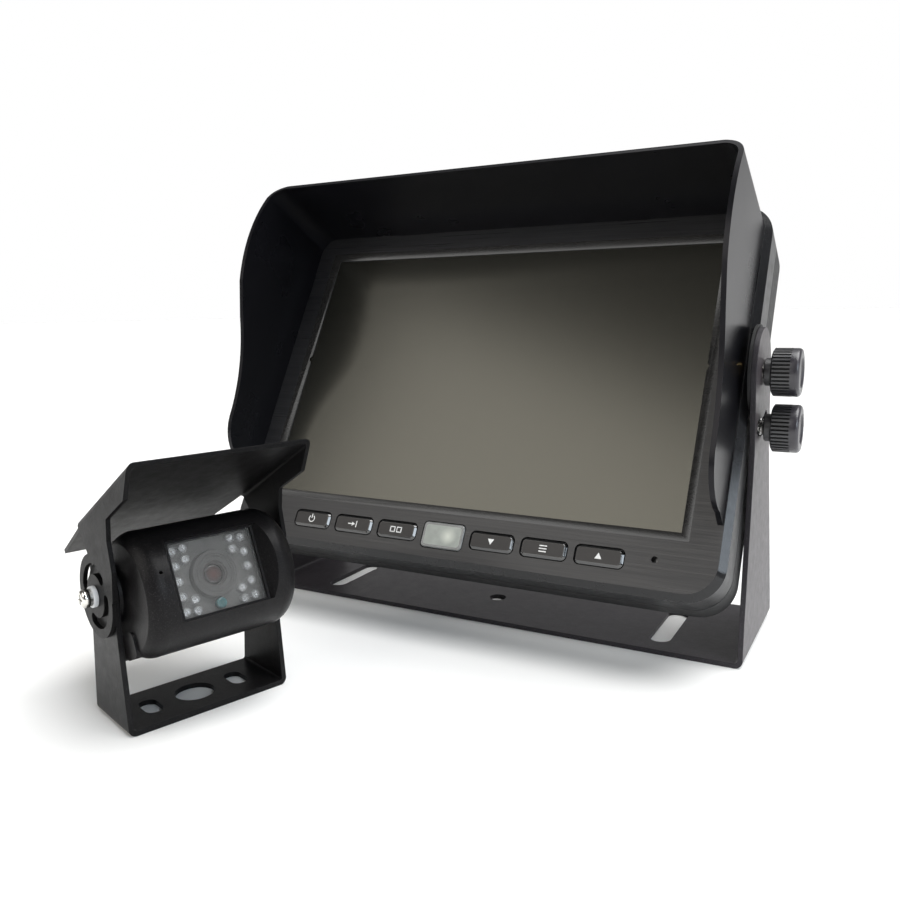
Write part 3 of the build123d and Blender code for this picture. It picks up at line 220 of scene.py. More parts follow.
# tint: darkest and lightest, rough: smoothest and roughest, grain: scale, height in metres and stretch
finishLooks = {
    "powderCoat": {
        "tint": ((0.02, 0.018, 0.0215), (0.028, 0.0255, 0.030)), "patchScale": 30, "rough": (0.34, 0.42),
        "speck": (0.085, 0.077, 0.088), "speckScale": 4200,
        "grain": ((2600, 0.00003, even), (900, 0.00003, even)),
        "shader": {
            "Specular IOR Level": 0.25,
            "Sheen Weight": 0.06, "Sheen Roughness": 0.4, "Sheen Tint": (1.0, 0.86, 0.89, 1),
        },
    },
    "cameraPaint": {
        "tint": ((0.0055, 0.0053, 0.0057), (0.009, 0.0085, 0.009)), "patchScale": 40, "rough": (0.33, 0.41),
        "speck": (0.05, 0.046, 0.047), "speckScale": 5200,
        "grain": ((3200, 0.00004, even), (1100, 0.00003, even)), "shader": {"Specular IOR Level": 0.13},
    },
    "hoodPaint": {
        "tint": ((0.004, 0.0039, 0.0042), (0.007, 0.0067, 0.007)), "patchScale": 40, "rough": (0.36, 0.44),
        "speck": (0.03, 0.027, 0.027), "speckScale": 5200,
        "grain": ((3200, 0.00004, even), (1100, 0.00003, even)), "shader": {"Specular IOR Level": 0.08},
    },
    "visorSatin": {
        "tint": ((0.004, 0.004, 0.0051), (0.0048, 0.0048, 0.006)), "patchScale": 12,
        "rough": (0.27, 0.29), "roughScale": 40, "grain": ((3600, 0.000012, even),),
        "shader": {"Specular IOR Level": 0.25, "Specular Tint": (0.96, 0.94, 1.0, 1)},
    },
    "brushedFace": {
        "tint": ((0.013, 0.013, 0.0145), (0.026, 0.0255, 0.027)), "patchScale": 2600,
        "stretch": (0.012, 1, 1), "rough": (0.26, 0.4), "roughScale": 1600,
        "grain": ((2400, 0.00002, (0.012, 1, 1)),),
        "shader": {"Specular IOR Level": 0.5},
    },
    "polishedEdge": {
        "tint": ((0.010, 0.010, 0.011), (0.016, 0.016, 0.017)), "patchScale": 40, "rough": (0.1, 0.17),
        "grain": ((700, 0.000008, even),), "shader": {"Specular IOR Level": 0.4},
    },
    "innerRim": {
        "tint": ((0.016, 0.015, 0.0145), (0.026, 0.0245, 0.023)), "patchScale": 500, "stretch": (0.1, 1, 1),
        "rough": (0.17, 0.23), "grain": ((2400, 0.00001, even),),
        "shader": {"Specular IOR Level": 0.7, "Specular Tint": (0.93, 0.96, 1.0, 1)},
    },
    "satinSide": {
        "tint": ((0.012, 0.012, 0.013), (0.02, 0.02, 0.021)), "patchScale": 50, "rough": (0.34, 0.44),
        "grain": ((2800, 0.00003, even),), "shader": {"Specular IOR Level": 0.5},
    },
    "sparkShell": {
        "tint": ((0.012, 0.012, 0.0125), (0.02, 0.02, 0.0205)), "patchScale": 40, "rough": (0.5, 0.62),
        "grain": ((1800, 0.00012, even), (4200, 0.00006, even)), "shader": {"Specular IOR Level": 0.42},
    },
    "capFace": {
        "tint": ((0.017, 0.015, 0.015), (0.026, 0.024, 0.023)), "patchScale": 300, "rough": (0.36, 0.46),
        "grain": ((3000, 0.00002, even),), "shader": {"Specular IOR Level": 0.45},
    },
    # Near-black glossy copy of the cap plastic for the chamfers: the gloss is real, the darkness is partly
    # painted shade of the gap round each cap
    "capEdge": {
        "tint": ((0.003, 0.003, 0.003), (0.006, 0.006, 0.006)), "patchScale": 300, "rough": (0.1, 0.16),
        "grain": ((1500, 0.00001, even),),
        "shader": {"Specular IOR Level": 0.9, "Coat Weight": 1.0, "Coat Roughness": 0.1},
    },
    "whitePrint": {
        "tint": ((0.72, 0.72, 0.71), (0.84, 0.84, 0.83)), "patchScale": 2500, "rough": (0.45, 0.6),
        "grain": ((5000, 0.00001, even),),
    },
    "knobPlastic": {
        "tint": ((0.026, 0.026, 0.0285), (0.042, 0.042, 0.045)), "patchScale": 120, "rough": (0.32, 0.42),
        "grain": ((3500, 0.00004, even),), "shader": {"Specular IOR Level": 0.8},
    },
    # Near-black copy of the knob plastic for the knurl grooves: painted shade in the recesses
    "knobGroove": {
        "tint": ((0.004, 0.004, 0.004), (0.008, 0.008, 0.008)), "patchScale": 160, "rough": (0.5, 0.6),
        "grain": ((2400, 0.00002, even),), "shader": {"Specular IOR Level": 0.2},
    },
    # Darker, lavender copy of the knob plastic for the smooth rim: its tone is painted shade and painted
    # lavender reflection, its gloss is real
    "knobRim": {
        "tint": ((0.022, 0.020, 0.026), (0.034, 0.031, 0.038)), "patchScale": 200, "rough": (0.26, 0.34),
        "grain": ((2800, 0.00002, even),), "shader": {"Specular IOR Level": 0.7},
    },
    "padRubber": {
        "tint": ((0.009, 0.009, 0.009), (0.016, 0.016, 0.016)), "patchScale": 160, "rough": (0.6, 0.75),
        "grain": ((2400, 0.00005, even),), "shader": {"Specular IOR Level": 0.35},
    },
    "zincSteel": {
        "tint": ((0.55, 0.55, 0.54), (0.7, 0.69, 0.67)), "patchScale": 900, "rough": (0.2, 0.34),
        "grain": ((1800, 0.000015, even),), "shader": {"Metallic": 1.0},
    },
    "nickelPlate": {
        "tint": ((0.66, 0.64, 0.60), (0.8, 0.78, 0.74)), "patchScale": 700, "rough": (0.1, 0.2),
        "grain": ((1500, 0.00001, even),), "shader": {"Metallic": 1.0},
    },
    "blackScrew": {
        "tint": ((0.02, 0.02, 0.021), (0.045, 0.044, 0.044)), "patchScale": 900, "rough": (0.3, 0.42),
        "grain": ((2000, 0.00002, even),), "shader": {"Metallic": 0.6},
    },
    "turnedBrass": {
        "tint": ((0.6, 0.42, 0.16), (0.74, 0.55, 0.25)), "patchScale": 600, "stretch": (8, 1, 1),
        "rough": (0.22, 0.34), "grain": ((1200, 0.00002, (6, 1, 1)),), "shader": {"Metallic": 1.0},
    },
    "sheetTray": {
        "tint": ((0.5, 0.5, 0.5), (0.62, 0.62, 0.62)), "patchScale": 200, "stretch": (0.1, 1, 1),
        "rough": (0.3, 0.42), "grain": ((1500, 0.00001, (0.05, 1, 1)),), "shader": {"Metallic": 1.0},
    },
    "boardGreen": {
        "tint": ((0.006, 0.05, 0.018), (0.012, 0.085, 0.03)), "patchScale": 420, "rough": (0.28, 0.4),
        "speck": (0.5, 0.46, 0.3), "speckScale": 900, "grain": ((800, 0.00003, even),),
    },
    "boardGrey": {
        "tint": ((0.12, 0.118, 0.112), (0.15, 0.146, 0.14)), "patchScale": 500, "rough": (0.35, 0.48),
        "grain": ((1500, 0.00002, even),), "shader": {"Specular IOR Level": 0.3},
    },
    "coneBlack": {
        "tint": ((0.012, 0.012, 0.012), (0.03, 0.03, 0.03)), "patchScale": 700, "rough": (0.6, 0.8),
        "grain": ((1600, 0.00008, even),),
    },
    "darkEpoxy": {
        "tint": ((0.012, 0.008, 0.012), (0.02, 0.014, 0.02)), "patchScale": 200, "rough": (0.12, 0.2),
        "grain": ((900, 0.00001, even),),
    },
    "sealRubber": {
        "tint": ((0.006, 0.006, 0.006), (0.012, 0.012, 0.012)), "patchScale": 300, "rough": (0.5, 0.62),
        "grain": ((2600, 0.00003, even),), "shader": {"Specular IOR Level": 0.35},
    },
    "barrelGrey": {
        "tint": ((0.07, 0.068, 0.066), (0.085, 0.083, 0.08)), "patchScale": 500, "rough": (0.4, 0.52),
        "grain": ((3200, 0.00002, even),), "shader": {"Specular IOR Level": 0.3},
    },
    "barrelDark": {
        "tint": ((0.045, 0.040, 0.038), (0.06, 0.053, 0.05)), "patchScale": 500, "rough": (0.35, 0.45),
        "grain": ((3200, 0.00001, even),), "shader": {"Specular IOR Level": 0.3},
    },
    "coatedLens": {
        "tint": ((0.018, 0.014, 0.014), (0.026, 0.02, 0.02)), "patchScale": 200, "rough": (0.05, 0.09),
        "grain": ((400, 0.000002, even),), "shader": {"Specular IOR Level": 0.5, "Coat Weight": 0.2},
    },
    "sensorTeal": {
        "tint": ((0.03, 0.13, 0.14), (0.06, 0.21, 0.22)), "patchScale": 900, "rough": (0.1, 0.2),
        "grain": ((1400, 0.00002, even),), "shader": {"Specular IOR Level": 0.7},
    },
    "nylonWhite": {
        "tint": ((0.56, 0.57, 0.58), (0.66, 0.67, 0.68)), "patchScale": 400, "rough": (0.35, 0.5),
        "grain": ((2000, 0.00002, even),),
    },
    "cupSilver": {
        "tint": ((0.78, 0.78, 0.78), (0.95, 0.95, 0.95)), "patchScale": 1500, "rough": (0.12, 0.22),
        "grain": ((2400, 0.00005, even),), "shader": {"Metallic": 0.8},
    },
    "windowFrost": {
        "tint": ((0.27, 0.29, 0.265), (0.36, 0.38, 0.35)), "patchScale": 160, "rough": (0.3, 0.42),
        "grain": ((2600, 0.00002, even),), "shader": {"Specular IOR Level": 0.5},
    },
    "windowRim": {
        "tint": ((0.10, 0.105, 0.105), (0.15, 0.155, 0.155)), "patchScale": 300, "rough": (0.08, 0.16),
        "grain": ((900, 0.00001, even),), "shader": {"Specular IOR Level": 0.8},
    },
    "antiGlare": {
        "tint": ((0.011, 0.011, 0.009), (0.015, 0.0145, 0.012)), "patchScale": 900, "rough": (0.21, 0.25),
        "roughScale": 2600, "grain": ((3600, 0.00001, even),),
        "shader": {"Specular IOR Level": 1.0, "Specular Tint": (1.0, 0.975, 0.85, 1)},
    },
    "panelOlive": {
        "tint": ((0.04, 0.039, 0.034), (0.055, 0.053, 0.047)), "patchScale": 300, "rough": (0.4, 0.5),
        "grain": ((2600, 0.00001, even),),
    },
    "clearWindow": {
        "tint": ((0.26, 0.26, 0.255), (0.3, 0.3, 0.295)), "patchScale": 60, "rough": (0.03, 0.06),
        "grain": ((300, 0.000002, even),), "shader": {"Alpha": 0.16, "Specular IOR Level": 0.4},
    },
    "clearDome": {
        "tint": ((0.5, 0.51, 0.51), (0.6, 0.61, 0.61)), "patchScale": 900, "rough": (0.03, 0.08),
        "grain": ((900, 0.00001, even),), "shader": {"Alpha": 0.2, "Specular IOR Level": 1.0},
    },
}
finishes = {name: makeFinish(name, look) for name, look in finishLooks.items()}
print("finishes made:", len(finishes))

nodeFinishes = {
    "monitor_bracket": "powderCoat", "friction_pads": "padRubber", "thread_inserts": "turnedBrass",
    "rear_shell": "sparkShell", "front_bezel": "satinSide", "sun_visor": "visorSatin",
    "monitor_gland": "padRubber", "housing_screws": "blackScrew", "screen_glass": "antiGlare",
    "lcd_panel": "panelOlive", "lcd_tray": "sheetTray", "main_board": "boardGreen",
    "board_screws": "zincSteel", "speaker": "coneBlack", "button_board": "boardGreen",
    "tact_switches": "coneBlack", "ir_window": "windowFrost", "ir_receiver": "darkEpoxy",
    "microphone": "sheetTray",
    "camera_bracket": "cameraPaint", "camera_housing": "cameraPaint", "rear_cover": "cameraPaint",
    "camera_visor": "hoodPaint", "camera_gland": "padRubber", "cover_seal": "sealRubber",
    "cover_screws": "nickelPlate", "pivot_screws": "nickelPlate", "spring_washers": "zincSteel",
    "nylon_washers": "nylonWhite", "window_glass": "clearWindow", "window_gasket": "sealRubber",
    "lens_barrel": "barrelGrey", "lens_glass": "coatedLens", "sensor_board": "boardGreen",
    "led_board": "boardGrey", "ir_leds": "clearDome", "light_sensor": "sensorTeal",
}
repeatedFinishes = {"button_": "capFace", "knob_": "knobPlastic", "stud_": "zincSteel"}


def finishOf(nodeName):
    if nodeName in nodeFinishes:
        return nodeFinishes[nodeName]
    return next(finish for start, finish in repeatedFinishes.items() if nodeName.startswith(start))


for nodeName, node in frame["nodes"].items():
    node.data.materials.clear()
    node.data.materials.append(finishes[finishOf(nodeName)])


# Pieces
def putPiece(bm, name, body, finishNames, replaced=(), sharp=35, evenShading=False):
    mesh = bpy.data.meshes.new(name)
    bm.normal_update()
    bm.to_mesh(mesh)
    bm.free()
    for finishName in finishNames:
        mesh.materials.append(finishes[finishName])
    mesh.polygons.foreach_set("use_smooth", [True] * len(mesh.polygons))
    mesh.set_sharp_from_angle(angle=radians(sharp))
    piece = bpy.data.objects.new(name, mesh)
    bpy.context.scene.collection.objects.link(piece)
    if evenShading:
        weighted = piece.modifiers.new("evenShading", "WEIGHTED_NORMAL")
        weighted.keep_sharp = True
    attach(piece, body)
    if replaced:
        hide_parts(*replaced)


# Pressed and moulded parts keep their shape and get softened edges
softening = {
    "merge": 2 * joinDistance,
    "flat": 0.4,        # degrees between faces that are joined
    "corner": 32,       # degrees past which an edge is softened
    "steps": 2,
    "sharp": 40,
}


def softenedCopy(nodeName, pieceName, look, chooser=None):
    node = frame["nodes"][nodeName]
    bm = bmesh.new()
    bm.from_mesh(node.data)
    bmesh.ops.remove_doubles(bm, verts=bm.verts, dist=softening["merge"])
    bmesh.ops.dissolve_limit(bm, angle_limit=radians(softening["flat"]), verts=bm.verts, edges=bm.edges)
    corner = radians(softening["corner"])
    edges = [e for e in bm.edges if len(e.link_faces) == 2 and e.calc_face_angle(0) > corner]
    bmesh.ops.bevel(
        bm, geom=edges, offset=look["edge"], offset_type="OFFSET", segments=softening["steps"],
        profile=0.5, affect="EDGES", clamp_overlap=True, material=-1,
    )
    if chooser:
        for face in bm.faces:
            face.material_index = chooser(face)
    putPiece(
        bm, pieceName, node["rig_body"], look["finish"], [nodeName],
        sharp=softening["sharp"], evenShading=True,
    )


softened = {
    "monitor_bracket": {"name": "monitorBracket", "edge": 0.35 * mm, "finish": ["powderCoat"]},
    "rear_shell": {"name": "rearShell", "edge": 0.3 * mm, "finish": ["sparkShell"]},
    "monitor_gland": {"name": "monitorGrommet", "edge": 0.4 * mm, "finish": ["padRubber"]},
    "sun_visor": {"name": "sunVisor", "edge": 0.35 * mm, "finish": ["visorSatin"]},
    "camera_bracket": {"name": "cameraBracket", "edge": 0.35 * mm, "finish": ["cameraPaint"]},
    "camera_housing": {"name": "cameraHousing", "edge": 0.45 * mm, "finish": ["cameraPaint"]},
    "rear_cover": {"name": "cameraRearCover", "edge": 0.2 * mm, "finish": ["cameraPaint"]},
    "camera_visor": {"name": "cameraVisor", "edge": 0.3 * mm, "finish": ["hoodPaint"]},
    "camera_gland": {"name": "cameraGland", "edge": 0.2 * mm, "finish": ["padRubber"]},
    "cover_screws": {"name": "coverScrews", "edge": 0.05 * mm, "finish": ["nickelPlate"]},
    "pivot_screws": {"name": "pivotScrews", "edge": 0.08 * mm, "finish": ["nickelPlate"]},
    "nylon_washers": {"name": "nylonWashers", "edge": 0.2 * mm, "finish": ["nylonWhite"]},
}
for nodeName, look in softened.items():
    softenedCopy(nodeName, look["name"], look)
print("softened parts:", len(softened))

# Bezel: brushed face, polished bevels, satin sides, and a grey lip round the glass
bezelLook = {
    "edge": 0.3 * mm, "finish": ["brushedFace", "polishedEdge", "satinSide", "innerRim"],
    "flat": 0.995, "side": 0.2, "lip": 0.9, "lipReach": 1.4 * mm,
}
brushed, polished, satin, lip = range(4)    # the order of the bezel's finishes
screenOut = screenFrame.to_3x3() @ Vector((0, 0, 1))
toScreen = screenFrame.inverted()
glassLow, glassHigh = nodeIn(screenFrame, "screen_glass")


def bezelFinish(face):
    facing = face.normal.dot(screenOut)
    if facing > bezelLook["flat"]:
        return brushed
    spot = toScreen @ face.calc_center_median()
    reach = bezelLook["lipReach"]
    besideGlass = glassLow.x - reach < spot.x < glassHigh.x + reach
    if besideGlass and glassLow.y - reach < spot.y < glassHigh.y + reach:
        return lip if facing > bezelLook["lip"] else satin
    return polished if facing > bezelLook["side"] else satin


softenedCopy("front_bezel", "frontBezel", bezelLook, bezelFinish)

# Button caps with their printed symbols; the chamfers are near-black, partly a real glossy edge, partly painted
# shade of the gap round each cap
capLook = {"edge": 0.14 * mm, "finish": ["capFace", "capEdge"], "flat": 0.98}
capNames = [n for n in frame["nodes"] if n.startswith("button_") and n != "button_board"]


def capFinish(face):
    return 0 if face.normal.dot(screenOut) > capLook["flat"] else 1


def buttonPiece(kind, nodeName):
    return kind + nodeName.removeprefix("button_").capitalize()


for nodeName in capNames:
    softenedCopy(nodeName, buttonPiece("cap", nodeName), capLook, capFinish)

symbolLook = {
    "size": 1.35 * mm,        # half height of a symbol
    "line": 0.34 * mm,        # stroke width
    "sink": 0.03 * mm,        # how far the print reaches into the cap
    "stand": 0.03 * mm,       # and how far it stands off
    "arcSteps": 28,
}
printThick = symbolLook["sink"] + symbolLook["stand"]


def addBar(bm, x, y, width, height):
    made = bmesh.ops.create_cube(bm, size=1.0)["verts"]
    place = Matrix.Translation((x, y, 0)) @ Matrix.Diagonal((width, height, printThick, 1))
    bmesh.ops.transform(bm, matrix=place, verts=made)


def addTriangle(bm, x, y, radius, turn):
    made = bmesh.ops.create_cone(
        bm, cap_ends=True, segments=3, radius1=radius, radius2=radius, depth=printThick
    )["verts"]    # points along +y before its turn
    bmesh.ops.transform(bm, matrix=Matrix.Translation((x, y, 0)) @ Matrix.Rotation(turn, 4, "Z"), verts=made)


def addArc(bm, radius, line, start, sweep):
    a = bm.verts.new((radius - line / 2, 0, -printThick / 2))
    b = bm.verts.new((radius + line / 2, 0, -printThick / 2))
    c = bm.verts.new((radius + line / 2, 0, printThick / 2))
    d = bm.verts.new((radius - line / 2, 0, printThick / 2))
    section = bm.faces.new((a, b, c, d))
    bmesh.ops.rotate(bm, cent=(0, 0, 0), matrix=Matrix.Rotation(start, 3, "Z"), verts=[a, b, c, d])
    bmesh.ops.spin(
        bm, geom=[section, *section.edges, *section.verts], cent=(0, 0, 0), axis=(0, 0, 1), angle=sweep,
        steps=symbolLook["arcSteps"],
    )


# Each symbol is drawn in shares of its half height s
def drawPower(bm, s, line):
    addArc(bm, s * 0.86, line, radians(125), radians(290))
    addBar(bm, 0, s * 0.72, line, s * 1.1)


def drawInput(bm, s, line):
    addBar(bm, -s * 0.75, 0, s * 1.3, line)
    addTriangle(bm, s * 0.1, 0, s * 0.62, -pi / 2)
    addBar(bm, s * 1.15, 0, line, s * 1.7)


def drawSplit(bm, s, line):
    for side in (-1, 1):
        for x in (-1, 1):
            addBar(bm, side * s * 0.95 + x * s * 0.62, 0, line, s * 1.5)
        for y in (-1, 1):
            addBar(bm, side * s * 0.95, y * (s * 0.75 - line / 2), s * 1.24, line)


def drawDown(bm, s, line):
    addTriangle(bm, 0, s * 0.2, s * 0.95, pi)


def drawUp(bm, s, line):
    addTriangle(bm, 0, -s * 0.2, s * 0.95, 0)


def drawMenu(bm, s, line):
    for y in (-1, 0, 1):
        addBar(bm, 0, y * s * 0.68, s * 1.9, line)


symbols = {
    "button_power": drawPower, "button_input": drawInput, "button_split": drawSplit,
    "button_down": drawDown, "button_menu": drawMenu, "button_up": drawUp,
}
for nodeName, draw in symbols.items():
    low, high = nodeIn(screenFrame, nodeName)
    bm = bmesh.new()
    draw(bm, symbolLook["size"], symbolLook["line"])
    bmesh.ops.recalc_face_normals(bm, faces=bm.faces)
    lift = high.z + (symbolLook["stand"] - symbolLook["sink"]) / 2
    middle = Vector(((low.x + high.x) / 2, (low.y + high.y) / 2, lift))
    bmesh.ops.transform(bm, matrix=screenFrame @ Matrix.Translation(middle), verts=bm.verts)
    putPiece(bm, buttonPiece("symbol", nodeName), nodeName, ["whitePrint"], sharp=30)
print("buttons and symbols made")

# Infrared window: frosted middle inside a clear rim
windowLook = {
    "rim": 1.0 * mm, "edge": 0.12 * mm, "corner": 1.0 * mm, "cornerSteps": 6,
    "thick": 0.3 * mm, "proud": 0.04 * mm,
    "spotRadius": 3.2 * mm, "spotAside": 0.16, "spotTint": (0.6, 0.62, 0.55),
}
softenedCopy("ir_window", "remoteWindowRim", {"edge": windowLook["edge"], "finish": ["windowRim"]})
windowPoints = [v.co for v in frame["nodes"]["ir_window"].data.vertices]
windowTop = boxIn(screenFrame, windowPoints)[1].z
frontPoints = [p for p in windowPoints if (toScreen @ p).z > windowTop - windowLook["thick"]]
low, high = boxIn(screenFrame, frontPoints)    # without the flange behind the bezel
width = high.x - low.x - 2 * windowLook["rim"]
height = high.y - low.y - 2 * windowLook["rim"]
bm = bmesh.new()
frost = bmesh.ops.create_cube(bm, size=1.0)["verts"]
bmesh.ops.transform(bm, matrix=Matrix.Diagonal((width, height, windowLook["thick"], 1)), verts=frost)
uprights = [e for e in bm.edges if abs(e.verts[0].co.z - e.verts[1].co.z) > windowLook["thick"] / 2]
bmesh.ops.bevel(
    bm, geom=uprights, offset=windowLook["corner"], offset_type="OFFSET", segments=windowLook["cornerSteps"],
    profile=0.5, affect="EDGES", clamp_overlap=True, material=-1,
)
lift = high.z + windowLook["proud"] - windowLook["thick"] / 2
middle = Vector(((low.x + high.x) / 2, (low.y + high.y) / 2, lift))
bmesh.ops.transform(bm, matrix=screenFrame @ Matrix.Translation(middle), verts=bm.verts)
putPiece(bm, "remoteWindowFrost", "monitor_head", ["windowFrost"])
spotAt = screenFrame @ (middle + Vector((windowLook["spotAside"] * width, 0, 0)))
addSpot(finishes["windowFrost"], spotAt, windowLook["spotRadius"], windowLook["spotTint"])


# Turned pieces are spun about +X from a list of (along, radius) points
def turned(profile, steps):
    bm = bmesh.new()
    verts = [bm.verts.new((along, radius, 0)) for along, radius in profile]
    edges = [bm.edges.new(pair) for pair in zip(verts, verts[1:])]
    bmesh.ops.spin(
        bm, geom=[*verts, *edges], cent=(0, 0, 0), axis=(1, 0, 0), angle=2 * pi, steps=steps,
        use_merge=True, use_duplicate=False,
    )
    bmesh.ops.remove_doubles(bm, verts=bm.verts, dist=0.2 * joinDistance)
    bmesh.ops.recalc_face_normals(bm, faces=bm.faces)
    return bm


def onAxisOf(low, high, start):    # the place of a turned piece in a box that lies along x
    return Matrix.Translation((start, (low.y + high.y) / 2, (low.z + high.z) / 2))


# Thumb knobs and threaded studs
knobLook = {
    "ridges": 38, "ridgeDepth": 0.38 * mm, "ridgeEdge": 0.06 * mm, "ridgeShare": 0.98,
    "collarRadius": 4.25 * mm, "collarLength": 2.2 * mm, "collarEdge": 0.3 * mm,
    "bore": 2.62 * mm, "boreDeep": 3.7 * mm, "shoulder": 0.8 * mm, "shoulderLong": 0.5 * mm,
    "smoothRim": 2.7 * mm, "round": 1.1 * mm, "roundAngles": (0, 22, 45, 68, 90),
    "dish": 0.5 * mm, "dishRadius": 4.8 * mm, "dishSlope": 0.6 * mm,
    "finish": ["knobPlastic", "knobRim", "knobGroove"], "sharp": 28,
}
plain, rim, paintedGrooveShade = range(3)    # the order of the knob's finishes; the groove finish is painted shade, the rim finish partly painted shade


def knobProfile(radius, length):
    look = knobLook
    collar, shoulderEnd = look["collarLength"], look["collarLength"] + look["shoulderLong"]
    profile = [
        (look["boreDeep"], 0), (look["boreDeep"], look["bore"]), (0, look["bore"]),
        (0, look["collarRadius"] - look["collarEdge"]), (look["collarEdge"], look["collarRadius"]),
        (collar, look["collarRadius"]), (collar, radius - look["shoulder"]), (shoulderEnd, radius),
        (length - look["smoothRim"], radius),
    ]
    middle = length - look["round"]
    for degrees in look["roundAngles"]:
        angle = radians(degrees)
        profile.append((middle + look["round"] * sin(angle), radius - look["round"] * (1 - cos(angle))))
    floor = length - look["dish"]
    profile.append((length, look["dishRadius"]))
    profile.append((floor, look["dishRadius"] - look["dishSlope"]))
    profile.append((floor, 0))
    return profile


for hand, side in (("right", 1), ("left", -1)):
    for level in ("upper", "lower"):
        nodeName = f"knob_{hand}_{level}"
        low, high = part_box(nodeName)
        length = high.x - low.x
        radius = (high.z - low.z) / 2
        bm = turned(knobProfile(radius, length), knobLook["ridges"] * 2)
        bandStart = knobLook["collarLength"] + knobLook["shoulderLong"]
        bandEnd = length - knobLook["smoothRim"]
        band = []
        for face in bm.faces:
            centre = face.calc_center_median()
            outside = Vector((centre.y, centre.z)).length > radius * knobLook["ridgeShare"]
            if bandStart < centre.x < bandEnd and outside:
                band.append((atan2(centre.z, centre.y), face))
            # the smooth rim past the knurl takes the partly painted-shade finish
            face.material_index = rim if centre.x > bandEnd else plain
        band.sort(key=lambda item: item[0])
        grooves = [face for i, (angle, face) in enumerate(band) if i % 2]
        bmesh.ops.inset_individual(
            bm, faces=grooves, thickness=knobLook["ridgeEdge"], depth=-knobLook["ridgeDepth"]
        )
        # the sunk grooves take the painted-shade finish
        for face in grooves:
            face.material_index = paintedGrooveShade
        start = low.x if side > 0 else high.x
        place = onAxisOf(low, high, start) @ Matrix.Diagonal((side, 1, 1, 1))
        bmesh.ops.transform(bm, matrix=place, verts=bm.verts)
        bmesh.ops.recalc_face_normals(bm, faces=bm.faces)
        pieceName = f"knob{hand.capitalize()}{level.capitalize()}"
        putPiece(bm, pieceName, nodeName, knobLook["finish"], [nodeName], knobLook["sharp"])

studLook = {
    "pitch": 0.8 * mm, "depth": 0.42 * mm, "steps": 40, "lead": 0.5 * mm,
    "crestStart": 0.38, "crestEnd": 0.5,      # shares of the pitch
}
for hand in ("right", "left"):
    for level in ("upper", "lower"):
        nodeName = f"stud_{hand}_{level}"
        low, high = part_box(nodeName)
        length = high.x - low.x
        crest = (high.z - low.z) / 2
        root = crest - studLook["depth"]
        pitch = studLook["pitch"]
        profile = [(0, 0), (0, root)]
        for i in range(int((length - 2 * studLook["lead"]) / pitch)):
            along = studLook["lead"] + i * pitch
            profile.append((along, root))
            profile.append((along + studLook["crestStart"] * pitch, crest))
            profile.append((along + studLook["crestEnd"] * pitch, crest))
        profile += [(length, root), (length, 0)]
        bm = turned(profile, studLook["steps"])
        bmesh.ops.transform(bm, matrix=onAxisOf(low, high, low.x), verts=bm.verts)
        pieceName = f"stud{hand.capitalize()}{level.capitalize()}"
        putPiece(bm, pieceName, f"knob_{hand}_{level}", ["zincSteel"], [nodeName], sharp=30)
print("knobs and studs made")

# Lens barrel with stepped rings, its depths measured back from the mouth
lensLook = {
    "steps": 96, "clearance": 0.05 * mm, "edge": 0.2 * mm, "slope": 0.1 * mm, "face": 0.05 * mm,
    "grooveStart": 1.6 * mm, "grooveEnd": 1.1 * mm, "grooveDepth": 0.15 * mm,
    "ringOuter": 1.0 * mm, "ringInner": 1.35 * mm,      # in from the barrel's outside
    "mouth": 4.7 * mm, "throat": 3.5 * mm, "throatAt": 0.45 * mm, "seat": 3.35 * mm, "seatAt": 0.8 * mm,
    "boreAt": 0.85 * mm, "boreEnd": 4.0 * mm, "darkRadius": 3.45 * mm, "darkEnd": 3.9 * mm,
    "pupil": 2.4 * mm, "pupilTint": (0.12, 0.045, 0.038), "finish": ["barrelGrey", "barrelDark"],
}


def barrelProfile(outer, bore, deep):
    look = lensLook
    edge, slope, notch = look["edge"], look["slope"], outer - look["grooveDepth"]
    face, grooveStart, grooveEnd = deep - look["face"], deep - look["grooveStart"], deep - look["grooveEnd"]
    ringOuter, ringInner = outer - look["ringOuter"], outer - look["ringInner"]
    return [
        (0, 0), (0, outer - edge), (edge, outer),
        (grooveStart, outer), (grooveStart + slope, notch), (grooveEnd - slope, notch), (grooveEnd, outer),
        (face - edge, outer), (face, outer - edge),
        (face, ringOuter), (face - slope, ringOuter - slope),
        (face - slope, ringInner + slope), (face, ringInner),
        (face, look["mouth"]), (face - edge, look["mouth"] - edge),
        (deep - look["throatAt"], look["throat"]), (deep - look["seatAt"], look["seat"]),
        (deep - look["boreAt"], bore), (deep - look["boreEnd"], bore), (deep - look["boreEnd"], 0),
    ]


def facingOut(low, high):    # turned pieces lie along x, the lens looks along z
    middle = Matrix.Translation(((low.x + high.x) / 2, (low.y + high.y) / 2, low.z))
    return lensFrame @ middle @ Matrix.Rotation(-pi / 2, 4, "Y")


low, high = nodeIn(lensFrame, "lens_barrel")
lensLow, lensHigh = nodeIn(lensFrame, "lens_glass")
bore = (lensHigh.x - lensLow.x) / 2 + lensLook["clearance"]
deep = high.z - low.z
bm = turned(barrelProfile((high.x - low.x) / 2, bore, deep), lensLook["steps"])
for face in bm.faces:
    centre = face.calc_center_median()
    inside = Vector((centre.y, centre.z)).length < lensLook["darkRadius"]
    if inside and centre.x > deep - lensLook["darkEnd"]:
        face.material_index = 1
bmesh.ops.transform(bm, matrix=facingOut(low, high), verts=bm.verts)
lensMiddle = lensFrame @ Vector(((lensLow.x + lensHigh.x) / 2, (lensLow.y + lensHigh.y) / 2, lensHigh.z))
addSpot(finishes["coatedLens"], lensMiddle, lensLook["pupil"], lensLook["pupilTint"])
putPiece(bm, "lensBarrel", "camera_head", lensLook["finish"], ["lens_barrel"], sharp=30)

